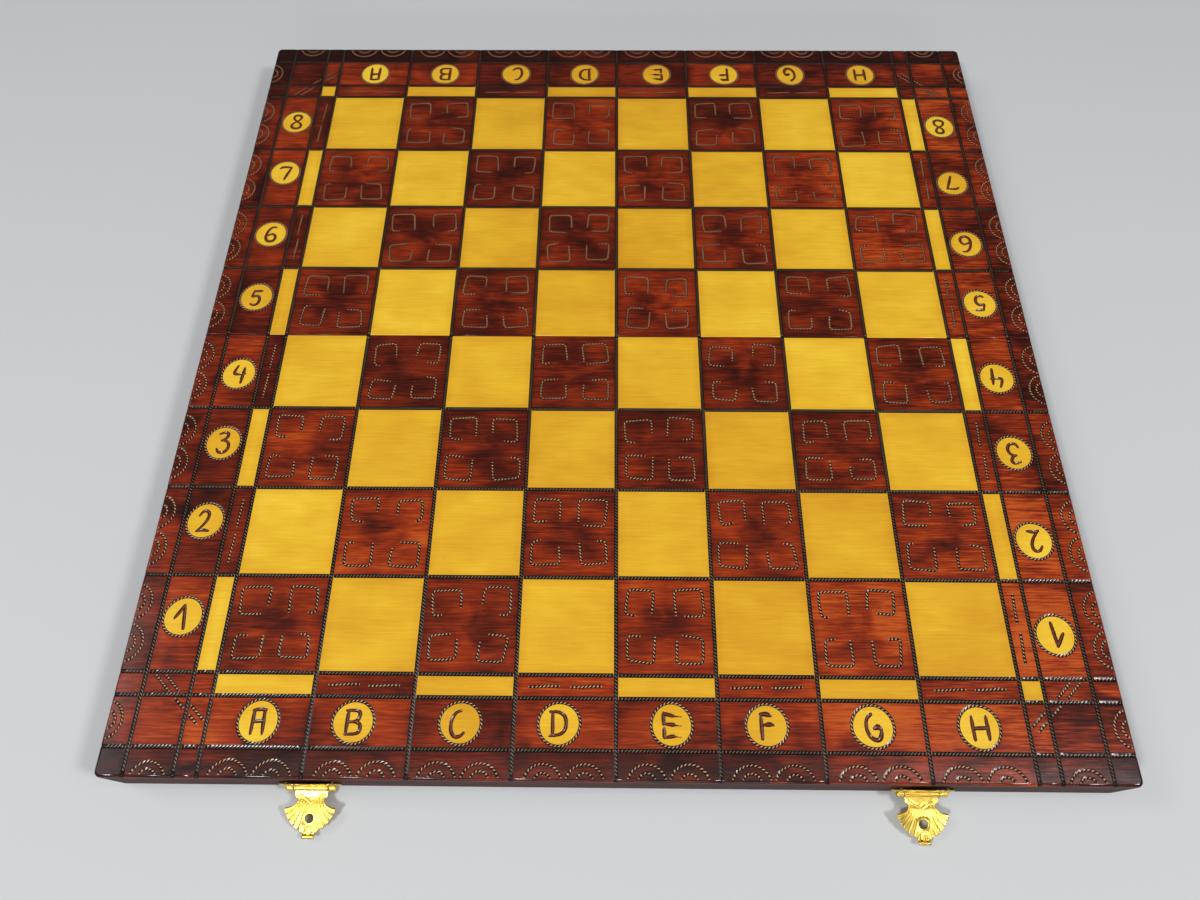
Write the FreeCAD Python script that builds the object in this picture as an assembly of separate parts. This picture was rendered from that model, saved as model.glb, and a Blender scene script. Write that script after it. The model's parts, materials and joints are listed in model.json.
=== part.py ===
import FreeCAD, Part
import math
import os

# A folding wooden chess box, lying open with its playing face up. Each half is a shallow tray, and
# the two trays meet along the fold between ranks 4 and 5. Sizes are in millimetres, +Z is up, +X is
# to the right and rank 1 lies towards -Y. The origin is on the hinge axis, halfway along the fold,
# in the plane of the trays' rims.

# Board layout, from the side of the board inwards
files = 8
half_ranks = 4
square = 40.1
border = 11.2
letter_strip = 19.4
narrow_strip = 9.0
groove_width = 1.6
groove_depth = 0.5

# Trays
panel_thickness = 3.5
edge_radius = 1.2
corner_radius = 2.5
wall_height = 19.0
wall_thickness = 8.0
finger_count = 3
fold_gap = 0.3
lining_thickness = 0.8
lining_clearance = 0.3

# Fold hinges, let into the rims of the two spine walls
hinge_from_side = 80.0
hinge_length = 25.0
leaf_width = 7.0
leaf_thickness = 0.7
leaf_land = 1.0
hinge_pin_radius = 0.6
knuckle_count = 5
knuckle_gap = 0.15
running_clearance = 0.05
barrel_clearance = 0.25
mortise_clearance = 0.1

# Hinge screws, two in each leaf
screw_length = 9.0
screw_shank_radius = 0.8
screw_head_radius = 1.5
screw_point_length = 1.6
screw_slot_width = 0.4
screw_slot_depth = 0.3
screw_from_leaf_end = 5.5
screw_from_leaf_edge = 2.8

# Clasps: a bowed base plate, a pin and a shell-shaped tab, whose hole snaps over a knob
clasp_squares_from_middle = 3
clasp_height = 6.0
clasp_sheet = 0.55
clasp_pin_radius = 0.6
clasp_wall_clearance = 0.3
clasp_knuckle_gap = 0.2
tab_knuckle_width = 13.6
plate_knuckle_width = 2.8
tab_rest_droop = 15.0

# Base plate: a fan of lobes round the pin, bowed away from the wall
plate_side_reach = 12.9
plate_top_reach = 9.6
plate_lobes = 9
plate_half_angle = 80.0
plate_notch = 0.4
plate_bow = 1.0

# Tab: a neck at the pin, a waist, and a fan of lobes that is raised clear of the wall
tab_neck_length = 3.4
tab_neck_inset = 0.2
tab_waist_half_width = 5.3
tab_waist_slope = 0.5
tab_flare_half_width = 6.4
tab_flare_length = 6.3
tab_focus = 1.0
tab_side_reach = 12.2
tab_tip_reach = 16.9
tab_lobes = 11
tab_half_angle = 57.0
tab_notch = 0.5
tab_rise = 0.8
tab_rise_length = 2.1
tab_hole_reach = 11.2
tab_hole_radius = 1.7
lip_width = 4.7
lip_overhang = 0.6
lip_height = 1.25

# Clasp nails, two in each base plate
nail_from_middle = 9.0
nail_above_pin = 4.6
nail_shank_radius = 0.6
nail_head_radius = 1.2
nail_head_height = 0.5
nail_length = 6.0

# Knobs on the back outer wall
knob_clearance = 0.3
knob_neck_radius = 0.9
knob_collar_radius = 2.2
knob_collar_thickness = 0.4
knob_shank_radius = 0.8
knob_length = 6.0

# How far a cutter reaches past the faces that it cuts
cut_overrun = 1.0

# Lengths that follow from the sizes above
strips = border + letter_strip + narrow_strip
board_width = files * square + 2 * strips
half_depth = half_ranks * square + strips
spine_thickness = leaf_width + leaf_land
half_width = board_width / 2
fold_face = fold_gap / 2
inner_side = half_width - wall_thickness
inner_outer = half_depth - wall_thickness
inner_spine = fold_face + spine_thickness
top = wall_height + panel_thickness

barrel_radius = hinge_pin_radius + leaf_thickness
hinge_x = half_width - hinge_from_side

clasp_barrel_radius = clasp_pin_radius + running_clearance + clasp_sheet
clasp_axis_y = -(half_depth + clasp_wall_clearance + clasp_barrel_radius)
clasp_x = clasp_squares_from_middle * square
plate_knuckle_start = tab_knuckle_width / 2 + clasp_knuckle_gap
plate_knuckle_end = plate_knuckle_start + plate_knuckle_width

LEFT_RIGHT = {"left": -1, "right": 1}
X_AXIS = FreeCAD.Vector(1, 0, 0)
Y_AXIS = FreeCAD.Vector(0, 1, 0)
Z_AXIS = FreeCAD.Vector(0, 0, 1)
ORIGIN = FreeCAD.Vector(0, 0, 0)


def point(x, y, z):
    return FreeCAD.Vector(x, y, z)


def block(x0, x1, y0, y1, z0, z1):
    """A box between two opposite corners."""
    return Part.makeBox(x1 - x0, y1 - y0, z1 - z0, point(x0, y0, z0))


def rod(radius, start, direction, length):
    """A round bar from a start point."""
    return Part.makeCylinder(radius, length, start, direction)


def prism(points, sweep):
    """A flat outline through points, swept along a vector."""
    return Part.Face(Part.makePolygon(points + [points[0]])).extrude(sweep)


def moved(solid, x, y, z):
    copy = solid.copy()
    copy.translate(point(x, y, z))
    return copy


def to_back(solid):
    """The same piece of the back tray, mirrored across the fold."""
    return solid.mirror(ORIGIN, Y_AXIS)


def to_right(solid):
    """The same piece on the right, mirrored across the middle."""
    return solid.mirror(ORIGIN, X_AXIS)


def export(name, *solids):
    shape = solids[0] if len(solids) == 1 else Part.makeCompound(list(solids))
    shape.exportStep(f"parts/{name}.step")


# The board


def half_footprint(height, base):
    """The front half's plan, with its two outer corners rounded, as an upright prism."""
    turn = corner_radius * (1 - math.sqrt(0.5))
    left, right = -half_width, half_width
    outer, fold = -half_depth, -fold_face
    corner_left = Part.Arc(
        point(left, outer + corner_radius, base),
        point(left + turn, outer + turn, base),
        point(left + corner_radius, outer, base),
    )
    corner_right = Part.Arc(
        point(right - corner_radius, outer, base),
        point(right - turn, outer + turn, base),
        point(right, outer + corner_radius, base),
    )
    edges = [
        Part.LineSegment(point(left, fold, base), point(left, outer + corner_radius, base)),
        corner_left,
        Part.LineSegment(point(left + corner_radius, outer, base), point(right - corner_radius, outer, base)),
        corner_right,
        Part.LineSegment(point(right, outer + corner_radius, base), point(right, fold, base)),
        Part.LineSegment(point(right, fold, base), point(left, fold, base)),
    ]
    wire = Part.Wire([edge.toShape() for edge in edges])
    return Part.Face(wire).extrude(point(0, 0, height))


def strip_lines():
    """Distances from the board's side to the grooves between border, letters, narrow strip and squares."""
    return [border, border + letter_strip, strips]


def groove(start, along, across):
    """A V-shaped cutter that leaves a groove of the stated width and depth in the top face."""
    rise = Z_AXIS * groove_depth
    return prism([start - rise, start + across * groove_width + rise, start - across * groove_width + rise], along)


def playing_panel():
    """The front half's playing panel, rounded along its three outer edges, with its grid of grooves."""
    panel = half_footprint(panel_thickness, wall_height)
    outer_edges = [
        edge
        for edge in panel.Edges
        if all(abs(v.Z - top) < 1e-6 for v in edge.Vertexes) and min(v.Y for v in edge.Vertexes) < -2 * fold_face
    ]
    panel = panel.makeFillet(edge_radius, outer_edges)
    xs = [side * (half_width - line) for line in strip_lines() for side in (-1, 1)]
    xs += [-half_width + strips + file * square for file in range(1, files)]
    ys = [-half_depth + line for line in strip_lines()]
    ys += [-rank * square for rank in range(1, half_ranks)]
    across_ranks = point(0, half_depth + 2 * cut_overrun, 0)
    across_files = point(board_width + 2 * cut_overrun, 0, 0)
    grooves = [groove(point(x, -half_depth - cut_overrun, top), across_ranks, X_AXIS) for x in xs]
    grooves += [groove(point(-half_width - cut_overrun, y, top), across_files, Y_AXIS) for y in ys]
    return panel.cut(grooves)


# The trays' walls, comb-jointed at the corners


def finger_heights(first):
    """Bottoms and tops of every other finger, from the first one named."""
    step = wall_height / finger_count
    return [(k * step, (k + 1) * step) for k in range(first, finger_count, 2)]


def long_wall(y0, y1):
    """A wall along the board's width, with slots for the side walls' fingers."""
    wall = block(-half_width, half_width, y0, y1, 0, wall_height)
    slots = [block(-half_width, -inner_side, y0, y1, low, high) for low, high in finger_heights(1)]
    slots += [block(inner_side, half_width, y0, y1, low, high) for low, high in finger_heights(1)]
    return wall.cut(slots)


def left_wall():
    """The left side wall, with fingers into both long walls."""
    wall = block(-half_width, -inner_side, -inner_outer, -inner_spine, 0, wall_height)
    fingers = [
        block(-half_width, -inner_side, y0, y1, low, high)
        for low, high in finger_heights(1)
        for y0, y1 in ((-half_depth, -inner_outer), (-inner_spine, -fold_face))
    ]
    return wall.fuse(fingers).removeSplitter()


def felt_lining():
    """Felt on the tray's floor, which is the playing panel's underside."""
    return block(
        -inner_side + lining_clearance,
        inner_side - lining_clearance,
        -inner_outer + lining_clearance,
        -inner_spine - lining_clearance,
        wall_height - lining_thickness,
        wall_height,
    )


# Fold hinges: leaves are let in up to the barrel's top, and the axis lies in the rims' plane


def hinge_knuckles():
    """Start and end of each knuckle along the barrel, from the hinge's middle."""
    pitch = (hinge_length + knuckle_gap) / knuckle_count
    start = -hinge_length / 2
    return [(start + k * pitch, start + (k + 1) * pitch - knuckle_gap) for k in range(knuckle_count)]


def screw_places():
    """Middles of one front leaf's two screws, from the hinge's middle."""
    x = hinge_length / 2 - screw_from_leaf_end
    return [(-x, screw_from_leaf_edge - leaf_width), (x, screw_from_leaf_edge - leaf_width)]


def screw_blank(x, y):
    """A countersunk screw without its slot, driven upwards through a leaf."""
    face = barrel_radius - leaf_thickness
    shank = screw_length - leaf_thickness - screw_point_length
    head = Part.makeCone(screw_head_radius, screw_shank_radius, leaf_thickness, point(x, y, face), Z_AXIS)
    body = rod(screw_shank_radius, point(x, y, barrel_radius), Z_AXIS, shank)
    tip_start = point(x, y, barrel_radius + shank)
    tip = Part.makeCone(screw_shank_radius, 0, screw_point_length, tip_start, Z_AXIS)
    return head.fuse([body, tip]).removeSplitter()


def hinge_screw(x, y):
    face = barrel_radius - leaf_thickness
    slot = block(
        x - screw_head_radius,
        x + screw_head_radius,
        y - screw_slot_width / 2,
        y + screw_slot_width / 2,
        face - cut_overrun,
        face + screw_slot_depth,
    )
    return screw_blank(x, y).cut(slot)


def hinge_leaf(owned, bore_radius):
    """A leaf on the front side of the barrel, with the knuckles whose numbers it owns."""
    end = hinge_length / 2
    leaf = block(-end, end, -leaf_width, 0, barrel_radius - leaf_thickness, barrel_radius)
    reach = barrel_radius + barrel_clearance
    for number, (start, stop) in enumerate(hinge_knuckles()):
        if number % 2 == owned:
            leaf = leaf.fuse(rod(barrel_radius, point(start, 0, 0), X_AXIS, stop - start))
        else:
            leaf = leaf.cut(block(start - knuckle_gap, stop + knuckle_gap, -reach, reach, 0, 2 * reach))
    leaf = leaf.cut(rod(bore_radius, point(-hinge_length, 0, 0), X_AXIS, 2 * hinge_length))
    return leaf.cut([screw_blank(x, y) for x, y in screw_places()]).removeSplitter()


def hinge_recess():
    """What a hinge takes out of the front spine wall's rim: the leaf's mortise, the barrel's groove and screw holes."""
    end = hinge_length / 2 + mortise_clearance
    mortise = block(-end, end, -leaf_width - mortise_clearance, 0, -cut_overrun, barrel_radius)
    channel = rod(barrel_radius + barrel_clearance, point(-end, 0, 0), X_AXIS, 2 * end)
    return [mortise, channel] + [screw_blank(x, y) for x, y in screw_places()]


# Clasps, built at the middle of the board and then moved along the wall


def fan_outline(lobes, half_angle, side_reach, tip_reach, notch):
    """Notch, tip, notch points of each lobe in a fan, as (across, along) from the fan's focus.

    The reach falls evenly from the middle of the fan to its sides.
    """

    def place(degrees, less):
        reach = tip_reach - (tip_reach - side_reach) * abs(degrees) / half_angle - less
        return reach * math.sin(math.radians(degrees)), reach * math.cos(math.radians(degrees))

    step = 2 * half_angle / lobes
    return [
        (
            place(-half_angle + k * step, notch),
            place(-half_angle + (k + 0.5) * step, 0),
            place(-half_angle + (k + 1) * step, notch),
        )
        for k in range(lobes)
    ]


def fan_prism(lobes, lead_in, lead_out, to_point, sweep):
    """Lobes as arcs, closed by the lines and arcs that lead in and out of them, swept along a vector."""
    edges = lead_in + [Part.Arc(*[to_point(*spot) for spot in lobe]).toShape() for lobe in lobes] + lead_out
    return Part.Face(Part.Wire(edges)).extrude(sweep)


def line(start, end):
    return Part.LineSegment(start, end).toShape()


def clasp_nail_blank(side):
    """A round-headed nail through the bowed plate, square to the wall."""
    x = side * nail_from_middle
    z = clasp_height + nail_above_pin
    seat = half_depth + plate_bow * (1 - (nail_from_middle / plate_side_reach) ** 2) + clasp_sheet
    shank = rod(nail_shank_radius, point(x, -seat, z), Y_AXIS, nail_length)
    ball = (nail_head_radius**2 + nail_head_height**2) / (2 * nail_head_height)
    dome = Part.makeSphere(ball, point(x, -seat - nail_head_height + ball, z))
    head = dome.common(rod(2 * nail_head_radius, point(x, -seat - ball, z), Y_AXIS, ball))
    return shank.fuse(head).removeSplitter()


def clasp_plate():
    """The bowed shell that is nailed to the wall, with a knuckle at each end of the tab's."""
    lobes = fan_outline(plate_lobes, plate_half_angle, plate_side_reach, plate_top_reach, plate_notch)

    def to_point(across, along):
        return point(across, -half_depth - 2 * plate_bow - 2 * clasp_sheet, clasp_height + along)

    first, last = to_point(*lobes[0][0]), to_point(*lobes[-1][2])
    foot_left, foot_right = to_point(-plate_knuckle_end, 0), to_point(plate_knuckle_end, 0)
    lead_in = [line(foot_right, foot_left), line(foot_left, first)]
    lead_out = [line(last, foot_right)]
    outline = fan_prism(lobes, lead_in, lead_out, to_point, Y_AXIS * (2 * plate_bow + 2 * clasp_sheet))
    bow_radius = (plate_side_reach**2 + plate_bow**2) / (2 * plate_bow)
    centre = point(0, -half_depth - plate_bow + bow_radius, 0)
    sheet = rod(bow_radius + clasp_sheet, centre, Z_AXIS, top).cut(rod(bow_radius, centre, Z_AXIS, top))
    plate = outline.common(sheet)
    room = clasp_barrel_radius + barrel_clearance
    notch = block(
        -plate_knuckle_start,
        plate_knuckle_start,
        clasp_axis_y - clasp_barrel_radius,
        -half_depth,
        clasp_height - room,
        clasp_height + room,
    )
    knuckles = [
        rod(clasp_barrel_radius, point(start, clasp_axis_y, clasp_height), X_AXIS, plate_knuckle_width)
        for start in (-plate_knuckle_end, plate_knuckle_start)
    ]
    plate = plate.cut(notch).fuse(knuckles)
    plate = plate.cut(clasp_pin())
    return plate.cut([clasp_nail_blank(-1), clasp_nail_blank(1)]).removeSplitter()


def clasp_pin():
    start = point(-plate_knuckle_end, clasp_axis_y, clasp_height)
    return rod(clasp_pin_radius, start, X_AXIS, 2 * plate_knuckle_end)


def tab_sheet():
    """The tab's sheet from the side, from its barrel out: neck, rise and raised fan, as a wide bar."""
    under = -clasp_barrel_radius
    raised = under + tab_rise
    rise_end = tab_neck_length + tab_rise_length
    end = tab_focus + tab_tip_reach + lip_overhang
    side = -2 * tab_tip_reach
    profile = [
        point(side, 0, under),
        point(side, -tab_neck_length, under),
        point(side, -rise_end, raised),
        point(side, -end, raised),
        point(side, -end, raised + clasp_sheet),
        point(side, -rise_end, raised + clasp_sheet),
        point(side, -tab_neck_length, under + clasp_sheet),
        point(side, 0, under + clasp_sheet),
    ]
    return prism(profile, X_AXIS * (-2 * side))


def clasp_tab_flat():
    """The tab with its pin on the X axis, lying along -Y."""
    lobes = fan_outline(tab_lobes, tab_half_angle, tab_side_reach, tab_tip_reach, tab_notch)
    depth = -2 * clasp_barrel_radius

    def to_point(across, along):
        return point(across, -along - tab_focus, depth)

    neck = tab_knuckle_width / 2 - tab_neck_inset
    waist_start = tab_neck_length + tab_waist_slope - tab_focus
    flare = (tab_flare_half_width, tab_flare_length - tab_focus)
    left_side = [
        to_point(-neck, -tab_focus),
        to_point(-neck, tab_neck_length - tab_focus),
        to_point(-tab_waist_half_width, waist_start),
    ]
    right_side = [
        to_point(tab_waist_half_width, waist_start),
        to_point(neck, tab_neck_length - tab_focus),
        to_point(neck, -tab_focus),
    ]
    lead_in = [line(right_side[2], left_side[0]), line(*left_side[0:2]), line(*left_side[1:3])]
    lead_in.append(Part.Arc(left_side[2], to_point(-flare[0], flare[1]), to_point(*lobes[0][0])).toShape())
    lead_out = [Part.Arc(to_point(*lobes[-1][2]), to_point(*flare), right_side[0]).toShape()]
    lead_out += [line(*right_side[0:2]), line(*right_side[1:3])]
    outline = fan_prism(lobes, lead_in, lead_out, to_point, Z_AXIS * (-2 * depth))
    raised = tab_rise - clasp_barrel_radius
    tip = tab_focus + tab_tip_reach + lip_overhang
    tongue = block(-lip_width / 2, lip_width / 2, -tip, lip_overhang + 2 * tab_notch - tip, depth, -depth)
    sheet = tab_sheet().common(outline.fuse(tongue))
    lip = block(-lip_width / 2, lip_width / 2, -tip, clasp_sheet - tip, raised, raised + clasp_sheet + lip_height)
    barrel = rod(clasp_barrel_radius, point(-tab_knuckle_width / 2, 0, 0), X_AXIS, tab_knuckle_width)
    bore = rod(clasp_pin_radius + running_clearance, point(-tab_knuckle_width, 0, 0), X_AXIS, 2 * tab_knuckle_width)
    hole = rod(tab_hole_radius, point(0, -tab_hole_reach, depth), Z_AXIS, -2 * depth)
    return sheet.fuse([lip, barrel]).cut([bore, hole]).removeSplitter()


def clasp_tab():
    """The tab at rest, standing out of the wall and drooping a little."""
    tab = clasp_tab_flat()
    tab.rotate(ORIGIN, X_AXIS, tab_rest_droop)
    return moved(tab, 0, clasp_axis_y, clasp_height)


def clasp_knob():
    """A turned knob driven into the back outer wall, where the hanging tab's hole comes to lie."""
    z = tab_hole_reach - clasp_height
    head_radius = tab_hole_radius - knob_clearance
    sheet_outside = -clasp_axis_y + tab_rise - clasp_barrel_radius + clasp_sheet
    collar = rod(knob_collar_radius, point(0, half_depth, z), Y_AXIS, knob_collar_thickness)
    neck = rod(knob_neck_radius, point(0, half_depth, z), Y_AXIS, sheet_outside - half_depth)
    head = Part.makeSphere(head_radius, point(0, sheet_outside, z))
    return knob_shank().fuse([collar, neck, head]).removeSplitter()


def knob_shank():
    z = tab_hole_reach - clasp_height
    return rod(knob_shank_radius, point(0, half_depth - knob_length, z), Y_AXIS, knob_length)


# Assembly


def build():
    os.makedirs("parts", exist_ok=True)
    hinge_places = [side * hinge_x for side in LEFT_RIGHT.values()]
    clasp_places = [side * clasp_x for side in LEFT_RIGHT.values()]
    footprint = half_footprint(wall_height, 0)
    panel = playing_panel()
    lining = felt_lining()
    side_wall = left_wall().common(footprint)
    outer_wall = long_wall(-half_depth, -inner_outer).common(footprint)
    recesses = [moved(cutter, x, 0, 0) for x in hinge_places for cutter in hinge_recess()]
    spine_wall = long_wall(-inner_spine, -fold_face).cut(recesses)
    nails = [moved(clasp_nail_blank(side), x, 0, 0) for x in clasp_places for side in (-1, 1)]
    shanks = [moved(knob_shank(), x, 0, 0) for x in clasp_places]

    export("front_playing_panel", panel)
    export("front_outer_wall", outer_wall.cut(nails))
    export("front_spine_wall", spine_wall)
    export("front_left_wall", side_wall)
    export("front_right_wall", to_right(side_wall))
    export("front_felt_lining", lining)

    export("back_playing_panel", to_back(panel))
    export("back_outer_wall", to_back(outer_wall).cut(shanks))
    export("back_spine_wall", to_back(spine_wall))
    export("back_left_wall", to_back(side_wall))
    export("back_right_wall", to_back(to_right(side_wall)))
    export("back_felt_lining", to_back(lining))

    front_leaf = hinge_leaf(0, hinge_pin_radius)
    back_leaf = to_back(hinge_leaf(1, hinge_pin_radius + running_clearance))
    pin = rod(hinge_pin_radius, point(-hinge_length / 2, 0, 0), X_AXIS, hinge_length)
    screws = [moved(hinge_screw(*place), x, 0, 0) for x in hinge_places for place in screw_places()]
    export("hinge_screws_front", *screws)
    export("hinge_screws_back", *[to_back(screw) for screw in screws])
    plate = clasp_plate()
    tab = clasp_tab()
    knob = clasp_knob()
    for name, side in LEFT_RIGHT.items():
        export(f"hinge_{name}_front_leaf", moved(front_leaf, side * hinge_x, 0, 0))
        export(f"hinge_{name}_back_leaf", moved(back_leaf, side * hinge_x, 0, 0))
        export(f"hinge_{name}_pin", moved(pin, side * hinge_x, 0, 0))
        export(f"clasp_{name}_plate", moved(plate, side * clasp_x, 0, 0))
        export(f"clasp_{name}_tab", moved(tab, side * clasp_x, 0, 0))
        export(f"clasp_{name}_pin", moved(clasp_pin(), side * clasp_x, 0, 0))
        export(f"clasp_{name}_knob", moved(knob, side * clasp_x, 0, 0))
    export("clasp_nails", *nails)


build()
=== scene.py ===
import json
from collections import namedtuple

import bmesh
import bpy
import numpy as np
from bpy.props import FloatProperty, FloatVectorProperty, IntProperty, PointerProperty
from bpy.types import Operator, Panel, PropertyGroup
from mathutils import Matrix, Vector
from mathutils.geometry import delaunay_2d_cdt

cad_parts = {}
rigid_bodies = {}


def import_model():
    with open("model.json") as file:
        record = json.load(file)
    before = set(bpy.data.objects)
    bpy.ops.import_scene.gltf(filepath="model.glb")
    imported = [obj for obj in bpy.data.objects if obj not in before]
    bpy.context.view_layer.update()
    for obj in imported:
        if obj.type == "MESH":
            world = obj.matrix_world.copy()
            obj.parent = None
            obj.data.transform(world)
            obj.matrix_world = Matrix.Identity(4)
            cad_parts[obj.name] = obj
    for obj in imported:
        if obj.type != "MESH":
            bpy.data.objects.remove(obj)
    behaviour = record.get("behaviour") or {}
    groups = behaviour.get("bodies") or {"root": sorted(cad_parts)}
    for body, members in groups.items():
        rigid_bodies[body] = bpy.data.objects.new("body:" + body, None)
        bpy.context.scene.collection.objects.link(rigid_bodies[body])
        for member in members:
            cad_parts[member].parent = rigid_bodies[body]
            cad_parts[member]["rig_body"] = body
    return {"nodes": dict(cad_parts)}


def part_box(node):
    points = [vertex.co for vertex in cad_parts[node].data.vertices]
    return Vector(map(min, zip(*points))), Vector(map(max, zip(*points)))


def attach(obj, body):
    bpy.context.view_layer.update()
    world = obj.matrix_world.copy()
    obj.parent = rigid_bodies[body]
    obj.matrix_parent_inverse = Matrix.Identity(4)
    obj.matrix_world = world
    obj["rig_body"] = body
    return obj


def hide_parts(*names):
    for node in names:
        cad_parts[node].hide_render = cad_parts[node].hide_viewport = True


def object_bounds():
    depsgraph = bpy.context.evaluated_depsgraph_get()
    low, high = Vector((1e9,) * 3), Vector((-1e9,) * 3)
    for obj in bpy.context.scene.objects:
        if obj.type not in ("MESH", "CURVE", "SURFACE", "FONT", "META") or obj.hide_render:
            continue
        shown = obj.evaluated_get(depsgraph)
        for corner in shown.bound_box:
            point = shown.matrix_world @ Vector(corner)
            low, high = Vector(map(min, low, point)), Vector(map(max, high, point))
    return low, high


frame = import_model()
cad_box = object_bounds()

bl_info = {
    "name": "Chess board box",
    "version": (1, 0, 0),
    "blender": (4, 5, 0),
    "location": "View3D > Sidebar > Chess box",
    "description": "Folding wooden chess box with a tooled board and two brass shell clasps",
    "category": "Add Mesh",
}

MM = 0.001
BOARD_CELLS = 8


def linear(code):
    """An sRGB hex colour as linear red, green and blue.

    A value up to 0.04045 is divided by 12.92. Above it, the value plus 0.055, over 1.055, is raised to 2.4.
    """
    srgb = np.array([int(code[k : k + 2], 16) for k in (0, 2, 4)]) / 255
    return tuple(np.where(srgb <= 0.04045, srgb / 12.92, ((srgb + 0.055) / 1.055) ** 2.4).tolist())


def length(name, description, default):
    return FloatProperty(name=name, description=description, default=default * MM, unit="LENGTH", precision=5)


def count(name, description, default):
    return IntProperty(name=name, description=description, default=default, min=3)


def fraction(name, description, default):
    return FloatProperty(name=name, description=description, default=default, min=0, max=1)


def degrees(name, description, default):
    return FloatProperty(name=name, description=description, default=np.radians(default), subtype="ANGLE")


def colour(name, description, default):
    return FloatVectorProperty(
        name=name, description=description, default=linear(default), subtype="COLOR", size=3, min=0, max=1
    )


# Sizes and colours that can be changed


class BoardSettings(PropertyGroup):
    """The two playing panels and what is tooled into them."""

    square: length("Square", "Side of a chess square, middle of groove to middle of groove", 40.1)
    narrow_strip: length("Narrow strip", "Width of the checked strip round the squares", 9.0)
    letter_strip: length("Letter strip", "Width of the strip with the letters and numbers", 19.4)
    edge_radius: length("Edge radius", "Rounding of the board's outer edges", 1.2)
    corner_radius: length("Corner radius", "Rounding of the board's corners in plan", 2.5)
    fold_radius: length("Fold radius", "Rounding of the edges along the fold", 0.35)
    groove_width: length("Groove width", "Width of the grooves between the squares", 1.7)
    groove_depth: length("Groove depth", "Depth of the grooves between the squares", 0.45)
    groove_tooth: length("Groove tooth", "Spacing of the wheel's teeth along a groove", 1.4)
    groove_ridge: fraction("Groove ridge", "Depth of a groove's ridges over its depth", 0.2)
    mark_width: length("Mark width", "Width of the lines drawn on the squares and the border", 1.25)
    mark_depth: length("Mark depth", "Depth of the lines drawn on the squares and the border", 0.36)
    mark_tooth: length("Mark tooth", "Spacing of the teeth along a drawn line", 1.55)
    mark_ridge: fraction("Mark ridge", "Depth of a drawn line's ridges over its depth", 0.06)
    ring_radius: length("Ring radius", "Radius of the ring round each letter and number", 8.2)
    letter_width: length("Letter width", "Width of the burnt strokes of the letters and numbers", 0.93)
    letter_depth: length("Letter depth", "Depth of the burnt strokes of the letters and numbers", 0.34)
    letter_cell: length("Letter cell", "Mesh size of the burnt letters", 0.26)
    stain_dark: colour("Stain, dark", "Darkest streaks of the red-brown stain", "240803")
    stain_middle: colour("Stain, middle", "Body of the red-brown stain", "73230A")
    stain_bright: colour("Stain, bright", "Brightest streaks of the red-brown stain", "BC541A")
    yellow: colour("Yellow", "Golden yellow stain of the light squares", "E4B12A")
    burn: colour("Burn", "Scorched wood in the tooled lines", "140906")
    # Paler than the pits: partly less-burnt wood between the teeth, partly a painted highlight on the ridges
    ridge: colour("Ridge", "Ridges between the teeth of a tooled line", "C49A72")


class TraySettings(PropertyGroup):
    """The trays' walls and linings."""

    wall_bevel: length("Wall bevel", "Worn edges of the walls", 0.35)
    felt_thickness: length("Felt thickness", "Thickness of the trays' lining", 0.72)
    felt_ripple: length("Felt ripple", "Height of the lining's slow ripples", 0.12)
    wall: colour("Wall", "Red-brown stain of the walls", "38100A")
    felt: colour("Felt", "Green felt", "1F4A2E")


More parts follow.
